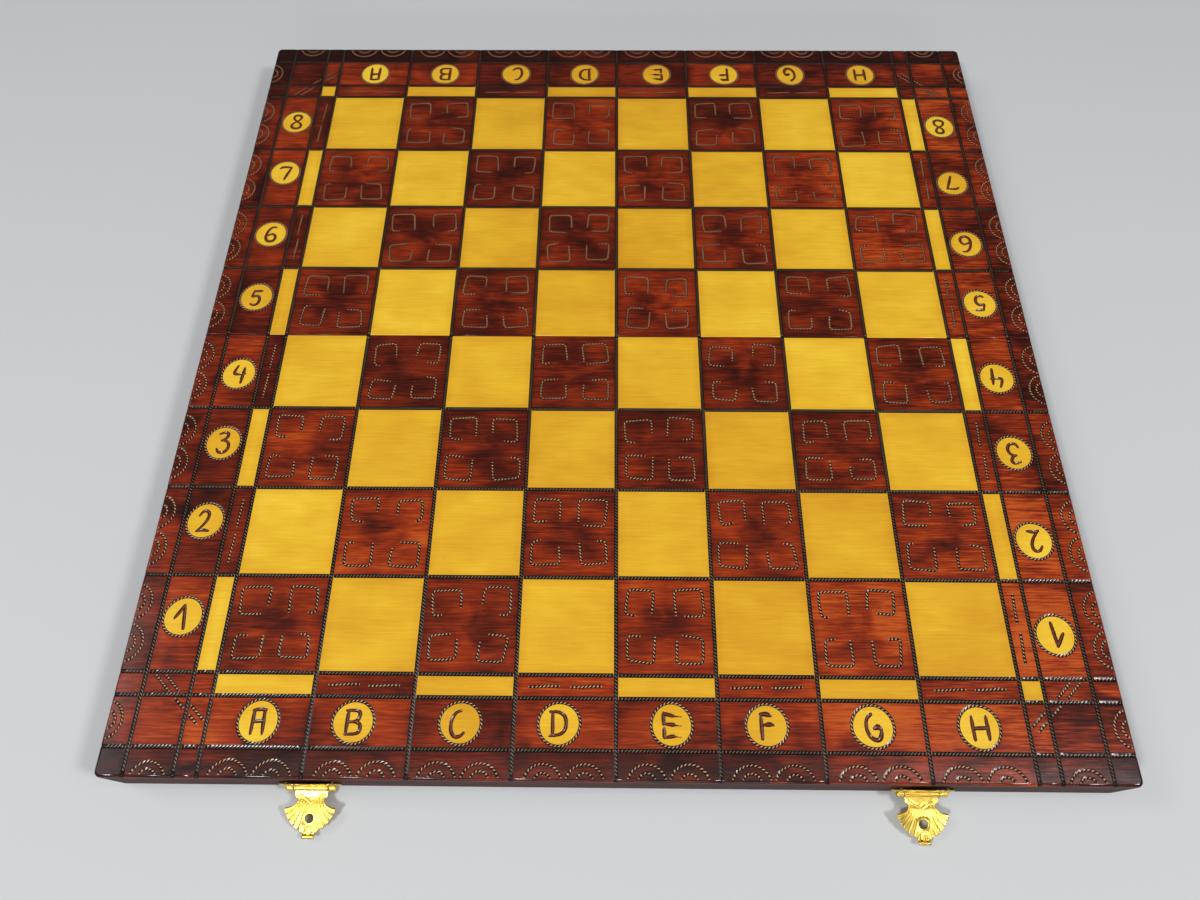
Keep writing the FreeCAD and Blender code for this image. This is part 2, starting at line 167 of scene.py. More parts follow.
class ClaspSettings(PropertyGroup):
    """The shell clasps, measured from the middle of their pins."""

    across: length("Across", "Distance of a clasp from the board's middle", 120.3)
    axis_y: length("Axis Y", "Place of the pins in front of the board's middle", -201.5)
    axis_z: length("Axis Z", "Height of the pins", 6.0)
    sheet: length("Sheet", "Thickness of the brass sheet", 0.55)
    barrel: length("Barrel", "Outer radius of the rolled barrels", 1.2)
    tilt: degrees("Tilt", "Tilt of the tabs from level, upwards positive", -15.0)
    neck_half: length("Neck half", "Half the width of the tab's neck", 6.6)
    neck_length: length("Neck length", "Length of the tab's neck", 3.4)
    waist_half: length("Waist half", "Half the width of the tab's waist", 5.3)
    waist_length: length("Waist length", "Distance of the tab's waist from the pin", 3.9)
    focus: length("Focus", "Distance of the tab's fan centre from the pin", 1.0)
    side_reach: length("Side reach", "Reach of the tab's outermost lobes", 12.2)
    tip_reach: length("Tip reach", "Reach of the tab's middle lobe", 16.2)
    tongue_reach: length("Tongue reach", "Distance of the lip's outer edge from the pin", 18.45)
    rise: length("Rise", "Step between the tab's neck and its fan", 0.5)
    rise_length: length("Rise length", "Length of that step", 2.6)
    lobes: count("Lobes", "Number of ribs of the tab", 11)
    half_angle: degrees("Half angle", "Half the angle of the tab's fan", 57)
    notch: length("Notch", "Depth of the notches between the tab's lobes", 0.75)
    hole_reach: length("Hole reach", "Distance of the tab's hole from the pin", 11.2)
    hole_radius: length("Hole radius", "Radius of the tab's hole", 1.7)
    rib_height: length("Rib height", "Height of the shell's ribs at the scalloped edge", 0.36)
    lip_width: length("Lip width", "Width of the turned-up lip", 4.7)
    lip_height: length("Lip height", "Height of the lip above the tab", 1.25)
    plate_side: length("Plate side reach", "Reach of the base plate's outermost lobes", 12.9)
    plate_top: length("Plate top reach", "Reach of the base plate's middle lobe", 9.6)
    plate_lobes: count("Plate lobes", "Number of ribs of the base plate", 9)
    plate_half_angle: degrees("Plate half angle", "Half the angle of the base plate's fan", 80)
    plate_notch: length("Plate notch", "Depth of the notches between the base plate's lobes", 0.4)
    plate_bow: length("Plate bow", "How far the base plate bows away from the wall", 1.0)
    knuckle_start: length("Knuckle start", "Inner end of the base plate's knuckles", 7.0)
    knuckle_end: length("Knuckle end", "Outer end of the base plate's knuckles", 9.8)
    brass: colour("Brass", "Polished brass of the clasps", "F0CE62")
    tarnish: colour("Tarnish", "Orange-brown tarnish on the clasps", "B06A20")
    hinge_bevel: length("Hinge bevel", "Worn edges of the hinge leaves", 0.08)
    hinge: colour("Hinge brass", "Satin brass of the hinges and screws", "B98E4C")


class StageSettings(PropertyGroup):
    """Floor, lamps and surroundings."""

    floor: colour("Floor", "Plain pale floor", "C9CBCC")
    surroundings: colour("Surroundings", "Plain room round the object", "B4B8BC")
    room_level: fraction("Room level", "Brightness of the surroundings", 0.2)


class ChessBoxSettings(PropertyGroup):
    """All settings of the chess box."""

    board: PointerProperty(type=BoardSettings)
    tray: PointerProperty(type=TraySettings)
    clasp: PointerProperty(type=ClaspSettings)
    stage: PointerProperty(type=StageSettings)


# Meshes and pieces


def new_mesh(name, points, groups, smooth=True):
    """A mesh of points and groups of polygons: the polygons of a group have the same number of corners."""
    mesh = bpy.data.meshes.new(name)
    corners = np.concatenate([group.ravel() for group in groups])
    totals = np.concatenate([np.full(len(group), group.shape[1]) for group in groups])
    mesh.vertices.add(len(points))
    mesh.vertices.foreach_set("co", np.ascontiguousarray(points, dtype=np.float32).ravel())
    mesh.loops.add(len(corners))
    mesh.loops.foreach_set("vertex_index", corners.astype(np.int32))
    mesh.polygons.add(len(totals))
    mesh.polygons.foreach_set("loop_start", (np.cumsum(totals) - totals).astype(np.int32))
    mesh.update(calc_edges=True)
    mesh.polygons.foreach_set("use_smooth", np.full(len(totals), smooth))
    return mesh


def grid_quads(index):
    """Quads of a grid of point numbers, wound so that row direction cross column direction points out."""
    return np.stack([index[:-1, :-1], index[1:, :-1], index[1:, 1:], index[:-1, 1:]], axis=-1).reshape(-1, 4)


def grid_rim(index):
    """Point numbers round the rim of a grid."""
    return np.concatenate([index[:-1, 0], index[-1, :-1], index[:0:-1, -1], index[0, :0:-1]])


def sheet(grid):
    """Points and faces of a grid of places."""
    return grid.reshape(-1, 3), grid_quads(np.arange(grid[..., 0].size).reshape(grid.shape[:2]))


def swept(across, out, up):
    """A grid of places: a profile of out and up, repeated at each place across."""
    level = np.ones((len(out), len(across)))
    return np.stack([across * level, out[:, None] * level, up[:, None] * level], axis=-1)


def joined(parts):
    """Several lots of points and faces as one."""
    firsts = np.cumsum([0] + [len(points) for points, _ in parts[:-1]])
    faces = np.concatenate([faces + first for (_, faces), first in zip(parts, firsts)])
    return np.concatenate([points for points, _ in parts]), faces


def new_piece(name, body, mesh, materials, replaced=()):
    """Links a mesh as a piece that rides on a body, takes a slot's finish and stands for CAD nodes."""
    piece = bpy.data.objects.new(name, mesh)
    bpy.context.scene.collection.objects.link(piece)
    for material in materials:
        mesh.materials.append(material)
    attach(piece, body)
    if replaced:
        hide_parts(*replaced)
    return piece


def solidify(piece, thickness):
    """Gives an open sheet its thickness, inwards from the modelled side."""
    modifier = piece.modifiers.new("Sheet thickness", "SOLIDIFY")
    modifier.thickness = thickness
    modifier.offset = -1
    modifier.use_even_offset = False


def eased_copy(node, name, width, material):
    """A copy of a CAD node with its doubles merged and its sharp edges broken by a small bevel."""
    source = frame["nodes"][node]
    mesh = source.data.copy()
    mesh.name = name
    mesh.materials.clear()
    shape = bmesh.new()
    shape.from_mesh(mesh)
    bmesh.ops.remove_doubles(shape, verts=shape.verts, dist=0.001 * MM)
    bmesh.ops.dissolve_limit(shape, angle_limit=np.radians(0.5), verts=shape.verts, edges=shape.edges)
    shape.to_mesh(mesh)
    shape.free()
    if "custom_normal" in mesh.attributes:
        mesh.attributes.remove(mesh.attributes["custom_normal"])
    mesh.shade_smooth()
    mesh.set_sharp_from_angle(angle=np.radians(35))
    piece = new_piece(name, source["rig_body"], mesh, [material], [node])
    modifier = piece.modifiers.new("Worn edges", "BEVEL")
    modifier.width = width
    modifier.segments = 2
    modifier.limit_method = "ANGLE"
    modifier.angle_limit = np.radians(40)
    modifier.use_clamp_overlap = True


def dress(node, material):
    """Gives a CAD node a better material in each of its slots."""
    for slot in frame["nodes"][node].material_slots:
        slot.material = material


# Materials


def add(tree, kind, inputs=(), **settings):
    """Adds a node, sets its settings, and fills its inputs with values or links them to sockets."""
    node = tree.nodes.new(kind)
    for key, value in settings.items():
        setattr(node, key, value)
    for key, value in dict(inputs).items():
        if isinstance(value, bpy.types.NodeSocket):
            tree.links.new(value, node.inputs[key])
        else:
            node.inputs[key].default_value = value
    return node


def rgba(tone):
    """A hex code or a linear colour as the value of a colour socket."""
    return (*(linear(tone) if isinstance(tone, str) else tone), 1.0)


def ramp(tree, factor, stops, interpolation="LINEAR"):
    """A colour ramp with stops of place and colour."""
    node = add(tree, "ShaderNodeValToRGB", {"Fac": factor})
    node.color_ramp.interpolation = interpolation
    while len(node.color_ramp.elements) < len(stops):
        node.color_ramp.elements.new(1.0)
    for element, (place, tone) in zip(node.color_ramp.elements, stops):
        element.position = place
        element.color = rgba(tone)
    return node.outputs["Color"]


def maths(tree, operation, *values):
    return add(tree, "ShaderNodeMath", dict(enumerate(values)), operation=operation).outputs[0]


def between(tree, value, low, high, out_low=0.0, out_high=1.0):
    """A smooth step from one level to another as a value goes from low to high."""
    inputs = {"Value": value, "From Min": low, "From Max": high, "To Min": out_low, "To Max": out_high}
    return add(tree, "ShaderNodeMapRange", inputs, interpolation_type="SMOOTHSTEP").outputs["Result"]


def mixed(tree, factor, first, second):
    """A blend of two tones, each a socket, a hex code or a linear colour."""
    inputs = {"Factor": factor}
    for socket, tone in ((6, first), (7, second)):
        inputs[socket] = tone if isinstance(tone, bpy.types.NodeSocket) else rgba(tone)
    return add(tree, "ShaderNodeMix", inputs, data_type="RGBA").outputs[2]


def pattern(tree, sizes, detail=3.0, roughness=0.55, distortion=0.0, axis=0, turn=0.0, seed=(0, 0, 0)):
    """Noise with features of two sizes in millimetres: along one axis of the object, and across it."""
    along, across = sizes
    scale = [1 / (across * MM)] * 3
    scale[axis] = 1 / (along * MM)
    place = add(tree, "ShaderNodeTexCoord").outputs["Object"]
    inputs = {"Vector": place, "Location": seed, "Rotation": (0, 0, turn), "Scale": scale}
    stretched = add(tree, "ShaderNodeMapping", inputs).outputs["Vector"]
    inputs = {"Detail": detail, "Roughness": roughness, "Distortion": distortion}
    return add(tree, "ShaderNodeTexNoise", {"Vector": stretched, "Scale": 1.0, **inputs}).outputs["Fac"]


def object_axes(tree):
    """The place along X, Y and Z of the object."""
    return add(tree, "ShaderNodeSeparateXYZ", {0: add(tree, "ShaderNodeTexCoord").outputs["Object"]}).outputs


def burn_of(tree):
    """How burnt the wood is, which the mesh holds at each corner of its faces."""
    return add(tree, "ShaderNodeAttribute", attribute_name="burn", attribute_type="GEOMETRY").outputs["Fac"]


def strip_lines(board):
    """Distances from the middle of the grooves round the squares, the narrow strip and the letters."""
    inner = board.square * BOARD_CELLS / 2
    return inner, inner + board.narrow_strip, inner + board.narrow_strip + board.letter_strip


def new_material(name):
    material = bpy.data.materials.new(name)
    material.use_nodes = True
    material.node_tree.nodes.clear()
    return material, material.node_tree


def finish_material(material, inputs):
    """Ends a material in one principled shader with these inputs."""
    tree = material.node_tree
    shader = add(tree, "ShaderNodeBsdfPrincipled", inputs)
    add(tree, "ShaderNodeOutputMaterial", {"Surface": shader.outputs[0]})
    material.diffuse_color = (0.5, 0.3, 0.2, 1.0)
    return material


def bump(tree, height, distance, strength=1.0, normal=None):
    inputs = {"Height": height, "Distance": distance, "Strength": strength}
    if normal is not None:
        inputs["Normal"] = normal
    return add(tree, "ShaderNodeBump", inputs).outputs["Normal"]


def groove_gap(tree, board):
    """Distance to the nearest groove: the squares' repeat, and the two strips' grooves along each axis."""
    nearest = None
    for axis in object_axes(tree)[:2]:
        away = maths(tree, "ABSOLUTE", axis)
        gaps = [maths(tree, "PINGPONG", away, board.square / 2)]
        for line in strip_lines(board)[1:]:
            gaps.append(maths(tree, "ABSOLUTE", maths(tree, "SUBTRACT", away, line)))
        for gap in gaps:
            nearest = gap if nearest is None else maths(tree, "MINIMUM", nearest, gap)
    return nearest


def cell_tone(tree, board):
    """A steady random value from 0 to 1 for each cell between the grooves."""
    index = []
    for axis in object_axes(tree)[:2]:
        cell = maths(tree, "FLOOR", maths(tree, "DIVIDE", axis, board.square))
        for line, shift in zip(strip_lines(board)[1:], (7.0, 13.0)):
            beyond = maths(tree, "GREATER_THAN", maths(tree, "ABSOLUTE", axis), line)
            cell = maths(tree, "ADD", cell, maths(tree, "MULTIPLY", beyond, shift))
        index.append(cell)
    cell = add(tree, "ShaderNodeCombineXYZ", dict(enumerate(index))).outputs[0]
    return add(tree, "ShaderNodeTexWhiteNoise", {"Vector": cell}, noise_dimensions="2D").outputs["Value"]


def weighed(tree, offset, *terms):
    """An offset plus the sum of values times their weights."""
    total = offset
    for value, weight in terms:
        total = maths(tree, "ADD", maths(tree, "MULTIPLY", value, weight), total)
    return total


def varnished(material, tone, fibre, wave, coat=0.7, gloss=0.08):
    """Gloss varnish over wood: grain shows faintly in the coat, which also has slow waves from brushing."""
    tree = material.node_tree
    inputs = {
        "Base Color": tone,
        "Roughness": 0.55,
        "Specular IOR Level": gloss,
        "Normal": bump(tree, fibre, 0.05 * MM, 0.4),
        "Coat Weight": coat,
        "Coat Roughness": 0.13,
        "Coat IOR": 1.46,
        "Coat Normal": bump(tree, wave, 0.3 * MM, 0.2, bump(tree, fibre, 0.02 * MM, 0.3)),
    }
    return finish_material(material, inputs)


def stained_wood(board):
    """Lime plywood, stained red-brown by hand, scorched in blotches and brushed with gloss varnish.

    To the eye: fine streaks along the grain, from orange to near black, a tone of its own in each
    cell, smoky blotches in the middle of the squares, a darker border and darker corners, more of a
    glow towards the right, and broken reflections. Painted light: the front two ranks are painted
    brighter, the lowest part of the rounded edges is painted darker as shade, and the back border
    is darker partly from its stain and partly as painted shade.
    """
    material, tree = new_material("Stained varnished plywood")
    band = pattern(tree, (48, 3.0), 3.0, 0.6, 0.4)
    streak = pattern(tree, (20, 0.9), 4.0, 0.7, 0.1, seed=(2, 9, 0))
    fibre = pattern(tree, (8, 0.4), 2.0, 0.65)
    blotch = pattern(tree, (24, 17), 2.0, 0.5, 0.4, seed=(3.1, 7.7, 0))
    drift = pattern(tree, (50, 34), 1.0, 0.5, seed=(1, 1, 7))
    smoke = between(tree, pattern(tree, (22, 13), 3.0, 0.5, 0.6, seed=(9, 2, 4)), 0.36, 0.68)
    scorch = between(tree, pattern(tree, (30, 22), 2.0, 0.5, 0.8, seed=(6, 3, 1)), 0.5, 0.68)

    x, y, z = object_axes(tree)
    sideways, lengthways = maths(tree, "ABSOLUTE", x), maths(tree, "ABSOLUTE", y)
    most = maths(tree, "MAXIMUM", sideways, lengthways)
    least = maths(tree, "MINIMUM", sideways, lengthways)
    _, letter_line, border_line = strip_lines(board)
    to_right = between(tree, x, 1.5 * board.square, 4.5 * board.square)
    # Painted light: the front two ranks are painted brighter, as if more light fell on them
    near = between(tree, y, -2.6 * board.square, -1.6 * board.square, 1.0, 0.0)
    # Painted shade: the lowest part of the rounded edges, well below the top, is painted darker
    shaded_flank = between(tree, z, cad_box[1][2] - 2.2 * MM, cad_box[1][2] - 0.9 * MM, 1.0, 0.0)
    border = maths(tree, "GREATER_THAN", most, border_line)
    front_border = maths(tree, "LESS_THAN", y, -border_line)
    back_border = maths(tree, "GREATER_THAN", y, border_line)
    corner = maths(tree, "GREATER_THAN", least, letter_line)
    rim = between(tree, most, letter_line, border_line)
    gap = groove_gap(tree, board)
    margin = between(tree, gap, 0.8 * MM, 3.5 * MM, 1.0, 0.0)
    heart = between(tree, gap, 6 * MM, 17 * MM)

    grain = weighed(tree, -0.82, (streak, 0.96), (fibre, 0.68))
    streaky = weighed(tree, 0.34, (drift, 0.5), (to_right, 0.4))
    level = weighed(
        tree,
        0.02,
        (band, 0.3),
        (maths(tree, "MULTIPLY", grain, streaky), 1.0),
        (blotch, 0.5),
        (cell_tone(tree, board), 0.2),
        (to_right, 0.09),
        (near, 0.1),
        (shaded_flank, -0.3),
        (margin, -0.05),
        (border, -0.07),
        (corner, -0.13),
        (front_border, -0.1),
        # The back border is darker partly from its stain and partly as painted shade, where less light
        # reaches the back
        (back_border, -0.2),
        (maths(tree, "MULTIPLY", smoke, weighed(tree, 0.3, (heart, 0.7))), -0.26),
        (maths(tree, "MULTIPLY", scorch, maths(tree, "ADD", rim, 0.25)), -0.17),
    )
    stops = [
        (0.18, board.stain_dark),
        (0.38, "4C1406"),
        (0.52, board.stain_middle),
        (0.64, "94300C"),
        (0.82, board.stain_bright),
    ]
    wave = pattern(tree, (14, 9), 1.0, 0.4, seed=(5, 5, 5))
    return varnished(material, ramp(tree, level, stops), fibre, wave)


def yellow_wood(board):
    """The same plywood under a golden yellow stain, under gloss varnish, with letters burnt into its discs.

    To the eye: nearly even yellow, a little more orange near the grooves and different in each
    square, with faint darker streaks and a few flecks along the grain, and brown-rimmed strokes
    whose paler middles are partly painted highlight.
    """
    material, tree = new_material("Yellow varnished plywood")
    streak = pattern(tree, (18, 0.7), 4.0, 0.62, 0.3, seed=(1, 3, 0))
    fibre = pattern(tree, (9, 0.36), 2.0, 0.6)
    cloud = pattern(tree, (26, 15), 2.0, 0.5, seed=(4, 4, 0))
    fleck = pattern(tree, (5, 0.5), 2.0, 0.5, seed=(8, 1, 0))
    sideways = maths(tree, "ABSOLUTE", object_axes(tree)[0])
    margin = between(tree, groove_gap(tree, board), 0.8 * MM, 5 * MM, 1.0, 0.0)
    level = weighed(
        tree,
        -0.16,
        (streak, 0.34),
        (fibre, 0.24),
        (cloud, 0.5),
        (cell_tone(tree, board), 0.24),
        (margin, -0.1),
        (maths(tree, "DIVIDE", sideways, 0.2), 0.12),
    )
    wood = ramp(tree, level, [(0.2, "C88C1C"), (0.42, "D8A024"), (0.6, board.yellow), (0.8, "F0C63A")])
    wood = mixed(tree, between(tree, fleck, 0.7, 0.8, 0.0, 0.5), wood, "9A5A14")
    burnt = burn_of(tree)
    # Strokes: dark rims, and a paler middle that is partly painted highlight
    stroke = ramp(tree, burnt, [(0.0, board.yellow), (0.3, "9A5A1C"), (0.54, "70391A"), (0.75, "240B05")])
    wood = mixed(tree, between(tree, burnt, 0.02, 0.3), wood, stroke)
    wave = pattern(tree, (14, 9), 1.0, 0.4, seed=(5, 5, 5))
    return varnished(material, wood, fibre, wave)


def burnt_wood(board):
    """Wood scorched by a hot toothed wheel, varnished over.

    To the eye: black-brown pits with ridges between them. The ridges are grey-brown in the grooves
    and sand-coloured in the drawn marks; their pale tone is partly less-burnt wood and partly a painted
    highlight. Towards the front both are painted paler, and the grooves' pits darker, as painted light.
    """
    material, tree = new_material("Burnt tooled line")
    patches = pattern(tree, (9, 9), 2.0, 0.5, seed=(2, 8, 0))
    level = weighed(tree, -0.2, (burn_of(tree), 1.0), (patches, 0.4))
    # Painted light: towards the front the ridges are painted paler, a painted highlight, and the grooves'
    # pits darker
    front_lit = between(tree, weighed(tree, 0.0, (object_axes(tree)[1], -1.0), (patches, 0.3)), -0.06, 0.34)
    is_mark = between(tree, groove_gap(tree, board), 0.8 * MM, 1.0 * MM)
    # The ridge tones are partly less-burnt wood and partly painted highlight
    mark_ridge = mixed(tree, front_lit, "C08C66", board.ridge)
    ridge = mixed(tree, is_mark, mixed(tree, front_lit, "64503C", "7A6C57"), mark_ridge)
    pit = mixed(tree, is_mark, board.burn, mixed(tree, front_lit, "34160C", "1C0A06"))
    tone = mixed(tree, between(tree, level, 0.3, 0.5), ridge, pit)
    fibre = pattern(tree, (1.2, 0.4), 2.0, 0.6)
    return varnished(material, tone, fibre, patches, 0.42)


# Plan of the board


# A grid of places in the plan, with the depth that is pressed there and how burnt it is
Tooling = namedtuple("Tooling", "plan depth burn closed")

# Profile of a tooled line: places across it as shares of its half width, and its depth there
ACROSS = np.array([-1.0, -0.38, 0.38, 1.0])
FLOOR = np.array([0.0, 1.0, 1.0, 0.0])

# How far the teeth of the wheel slant along the line, as a share of how far they are across it
SLANT = 0.9

# Room that grooves leave at a groove that they meet
GROOVE_ROOM = 0.12 * MM

# Half the width and height of the mesh that holds a letter
LETTER_REACH = np.array([4.35, 6.0]) * MM

# Freehand marks on the dark squares: half size, place from the square's middle, and bend of a hook
HOOK_HALF = np.array([5.7, 5.4]) * MM
HOOK_MIDDLE = np.array([9.9, 9.7]) * MM
HOOK_BEND = 2.0 * MM

# Dashes in the narrow strip: place from the middle of the cell, half length, and waver
DASH_MIDDLE = 8.2 * MM
DASH_HALF = 6.2 * MM
DASH_WAVER = 0.2 * MM

# Pairs of arches on the border: place from the middle of the cell, range of their radii, how far their
# middles lie outside the edge, and how far inside it they end
ARCH_MIDDLE = 8.3 * MM
ARCH_RADII = np.array([(7.45, 7.95), (3.3, 3.8)]) * MM
ARCH_SINK = np.array([1.2, 0.2]) * MM
ARCH_FOOT = 1.3 * MM

# Pairs of slashes over the corners: both ends from the corner of the squares, their spacing, and waver
SLASH_START = np.array([24.6, 0.8]) * MM
SLASH_STOP = np.array([4.1, 19.9]) * MM
SLASH_SPACING = 4.0 * MM
SLASH_WAVER = 0.25 * MM


def groove_lines(board):
    """Distances of all grooves of one axis from the board's middle, from one side to the other."""
    strips = np.array(strip_lines(board))
    squares = np.arange(1 - BOARD_CELLS // 2, BOARD_CELLS // 2) * board.square
    return np.concatenate([-strips[::-1], squares, strips])


def cell_middles(board):
    """Places of the middles of the squares along one axis."""
    return (np.arange(BOARD_CELLS) - (BOARD_CELLS - 1) / 2) * board.square


def ranks_of(half):
    """The ranks that lie on one half of the board, counted from 0."""
    return range(0, BOARD_CELLS // 2) if half < 0 else range(BOARD_CELLS // 2, BOARD_CELLS)


def edge_rows(radius):
    """Distances from an edge of a quarter round's rows: the radius times 1 less the cosine of equal turns."""
    return radius * (1 - np.sin(np.radians(np.linspace(90, 0, 5))))


def along(path, closed):
    """Arc length, and functions that give place and left normal at an arc length, of a path of points."""
    if closed:
        path = np.concatenate([path, path[:1]])
    steps = np.diff(path, axis=0)
    sizes = np.hypot(*steps.T)
    reach = np.concatenate([[0], np.cumsum(sizes)])
    headings = steps / sizes[:, None]
    middles = (reach[1:] + reach[:-1]) / 2
    if closed:
        middles = np.concatenate([[middles[-1] - reach[-1]], middles, [middles[0] + reach[-1]]])
        headings = np.concatenate([headings[-1:], headings, headings[:1]])

    def place(s):
        return np.stack([np.interp(s, reach, path[:, k]) for k in (0, 1)], axis=-1)

    def normal(s):
        heading = np.stack([np.interp(s, middles, headings[:, k]) for k in (0, 1)], axis=-1)
        heading /= np.linalg.norm(heading, axis=-1, keepdims=True)
        return np.stack([-heading[..., 1], heading[..., 0]], axis=-1)

    return reach[-1], place, normal


def tooled_line(path, width, depth, tooth, ridge, closed=False, ends=(None, None)):
    """A line pressed by a hot toothed wheel, as rows of four points across a path.

    Rows are by turns the ridge between two teeth and the pit of a tooth, and slant by SLANT of the
    width. Depth is the full depth on a pit's floor, the ridge's share of it on a ridge, and nothing
    at the two rims. It fades at the line's ends, but an end that is given as rows runs out over a
    rounded edge. The burn is full but on the ridges, where it is the share too.
    """
    total, place, normal = along(path, closed)
    teeth = max(2, round(total / tooth))
    rows = np.linspace(0, total, 2 * teeth + 1)
    level = np.where(np.arange(2 * teeth + 1) % 2 == 1, 1.0, ridge)
    if closed:
        rows, level = rows[:-1], level[:-1]
    fade = np.ones(len(rows)) if closed else np.clip(np.minimum(rows, total - rows) / (0.7 * tooth), 0, 1)
    for number, special in enumerate(ends):
        if special is None:
            continue
        inside = rows if number == 0 else total - rows
        keep = inside > special.max() + 0.3 * tooth
        rows = np.concatenate([rows[keep], special if number == 0 else total - special])
        level = np.concatenate([level[keep], np.full(len(special), 0.5 + 0.5 * ridge)])
        fade = np.concatenate([np.where(inside < total / 2, 1.0, fade)[keep], np.ones(len(special))])
        order = np.argsort(rows)
        rows, level, fade = rows[order], level[order], fade[order]
    lean = 1.0 if closed else np.clip(np.minimum(rows, total - rows) / tooth - 1.2, 0, 1)
    s = rows[:, None] + SLANT * width / 2 * ACROSS * np.broadcast_to(lean, len(rows))[:, None]
    s = s % total if closed else np.clip(s, 0, total)
    plan = place(s) + normal(s) * (ACROSS * width / 2)[None, :, None]
    depths = depth * (level * fade)[:, None] * FLOOR
    # The lower burn on the ridges paints them paler: partly less-burnt wood, partly painted highlight
    burn = 1 - (1 - level[:, None]) * FLOOR
    return Tooling(plan, depths, burn, closed)


def rounded(points, rounds=2):
    """Cuts the corners of a hand-drawn stroke: each inner point gives way to two, a quarter along its runs.

    Numbers beyond the place, such as a breadth, are carried along.
    """
    points = np.asarray(points, float)
    for _ in range(rounds):
        if len(points) < 3:
            break
        before, after = points[:-1], points[1:]
        cut = np.stack([0.75 * before + 0.25 * after, 0.25 * before + 0.75 * after], axis=1)
        points = np.concatenate([points[:1], cut.reshape(-1, points.shape[1])[1:-1], points[-1:]])
    return points


def clear_runs(path, lines, margin):
    """The runs of a path that stay clear of the grooves by a margin, and have enough points to draw."""
    near = np.min(np.abs(path[:, :, None] - lines[None, None, :]), axis=(1, 2))
    free = np.concatenate([[False], near > margin, [False]])
    change = np.flatnonzero(free[1:] != free[:-1])
    return [path[a:b] for a, b in zip(change[::2], change[1::2]) if b - a > 12]


# Hand-drawn letters and numbers as strokes, in millimetres from the middle of their discs. A third number is
# the stroke's breadth there, as a share of the usual one
GLYPHS = {
    "A": [
        [(-2.4, -4.8), (-2.1, 4.2)],
        [(2.4, -4.8), (2.1, 4.3)],
        [(-2.6, 4.1), (0, 4.7), (2.4, 4.3)],
        [(-2.2, 0.1), (2.2, 0.3)],
    ],
    "B": [
        [(-2.6, -4.5), (-2.4, 4.5)],
        [(-2.9, 4.5), (1.9, 4.5), (2.7, 3.0), (1.8, 0.3), (-2.2, 0.0)],
        [(-2.2, 0.2), (2.4, 0.0), (3.2, -2.4), (2.3, -4.5), (-2.9, -4.6)],
    ],
    "C": [[(0.2, 4.6), (-2.0, 4.0), (-3.7, 0.4), (-3.2, -3.8), (-1.4, -5.2), (0.6, -4.7), (1.7, -3.4)]],
    "D": [
        [(-2.7, 4.4), (-2.5, -4.2)],
        [(-3.8, 4.7), (-0.2, 4.8), (2.7, 2.8), (2.8, -1.6), (0.8, -4.0), (-3.6, -4.5)],
    ],
    "E": [
        [(-3.1, 4.7), (-3.0, 0.4)],
        [(-2.9, -1.2), (-2.9, -4.7)],
        [(-2.9, 4.4, 1.5), (0.2, 3.6, 1.0), (1.4, 3.4, 0.3), (4.0, 3.3, 0.1)],
        [(-2.6, 0.2, 0.9), (0.4, 0.1, 1.3), (1.5, -0.2, 0.3), (4.0, -0.4, 0.1)],
        [(-3.1, -4.6, 0.8), (0.2, -4.0, 1.2), (1.4, -4.2, 0.3), (4.0, -4.3, 0.1)],
    ],
    "F": [
        [(-2.1, 4.5), (-2.0, -4.7)],
        [(-2.4, 4.5, 1.2), (0.4, 4.5, 1.4), (1.9, 3.7, 0.6)],
        [(-1.7, 0.1, 0.8), (1.0, 0.6, 1.4), (2.6, 0.2, 0.5)],
    ],
    "G": [
        [(-0.4, 4.9, 1.6), (-2.2, 3.4), (-2.9, 0.2), (-1.8, -3.6)]
        + [(0.4, -5.2, 1.1), (2.4, -4.8, 1.4), (3.3, -2.4, 1.3), (3.2, -0.9)],
        [(0.6, -0.6, 1.4), (1.9, 0.2, 1.5), (3.2, -0.9)],
    ],
    "H": [[(-2.6, 4.3), (-2.4, -4.3)], [(3.1, 4.3), (3.3, -4.3)], [(-2.5, -0.1), (3.2, 0.1)]],
    "1": [[(-3.4, -0.8), (-0.2, 4.6)], [(-0.2, 4.6), (0.9, -4.9)]],
    "2": [
        [(-3.0, 2.4), (-1.8, 4.6), (0.6, 4.8), (1.6, 2.4), (0.2, -1.4), (-2.7, -4.9)],
        [(-2.8, -4.8), (-0.4, -4.1), (2.2, -4.6)],
    ],
    "3": [
        [(-2.3, 4.4), (0.6, 5.4), (1.9, 4.0), (0.6, 1.6), (-0.9, 1.2)],
        [(-0.9, 1.2), (1.9, 1.0), (3.0, -2.2), (1.2, -4.9), (-1.6, -4.8), (-2.4, -3.0)],
    ],
    "4": [[(-1.1, 4.8), (-3.2, -0.5), (2.9, 0.2)], [(2.2, 3.3), (1.5, -4.9)]],
    "5": [
        [(2.3, 4.0), (-1.4, 3.8)],
        [(-1.3, 3.9), (-2.6, -0.3), (0.4, 1.1), (2.1, -1.2), (1.2, -4.4), (-0.9, -5.0), (-2.3, -4.2)],
    ],
    "6": [
        [(2.1, 4.6), (0.1, 4.9), (-2.0, 2.2), (-2.8, -2.6), (-1.0, -5.1)]
        + [(2.0, -4.6), (2.9, -1.8), (1.0, 0.5), (-2.2, -1.2)],
    ],
    "7": [[(-3.0, 3.0), (-1.6, 4.2), (3.2, 3.8)], [(3.2, 3.8), (1.5, -0.8), (0.3, -4.8)]],
    "8": [
        [(0.2, 0.4), (2.0, 1.9), (2.3, 4.2), (0.2, 5.2), (-1.9, 4.4), (-1.8, 2.0), (0.2, 0.4)],
        [(0.2, 0.4), (-2.4, -1.2), (-2.7, -4.0), (0.1, -5.2), (2.7, -4.0), (2.6, -1.4), (0.2, 0.4)],
    ],
}

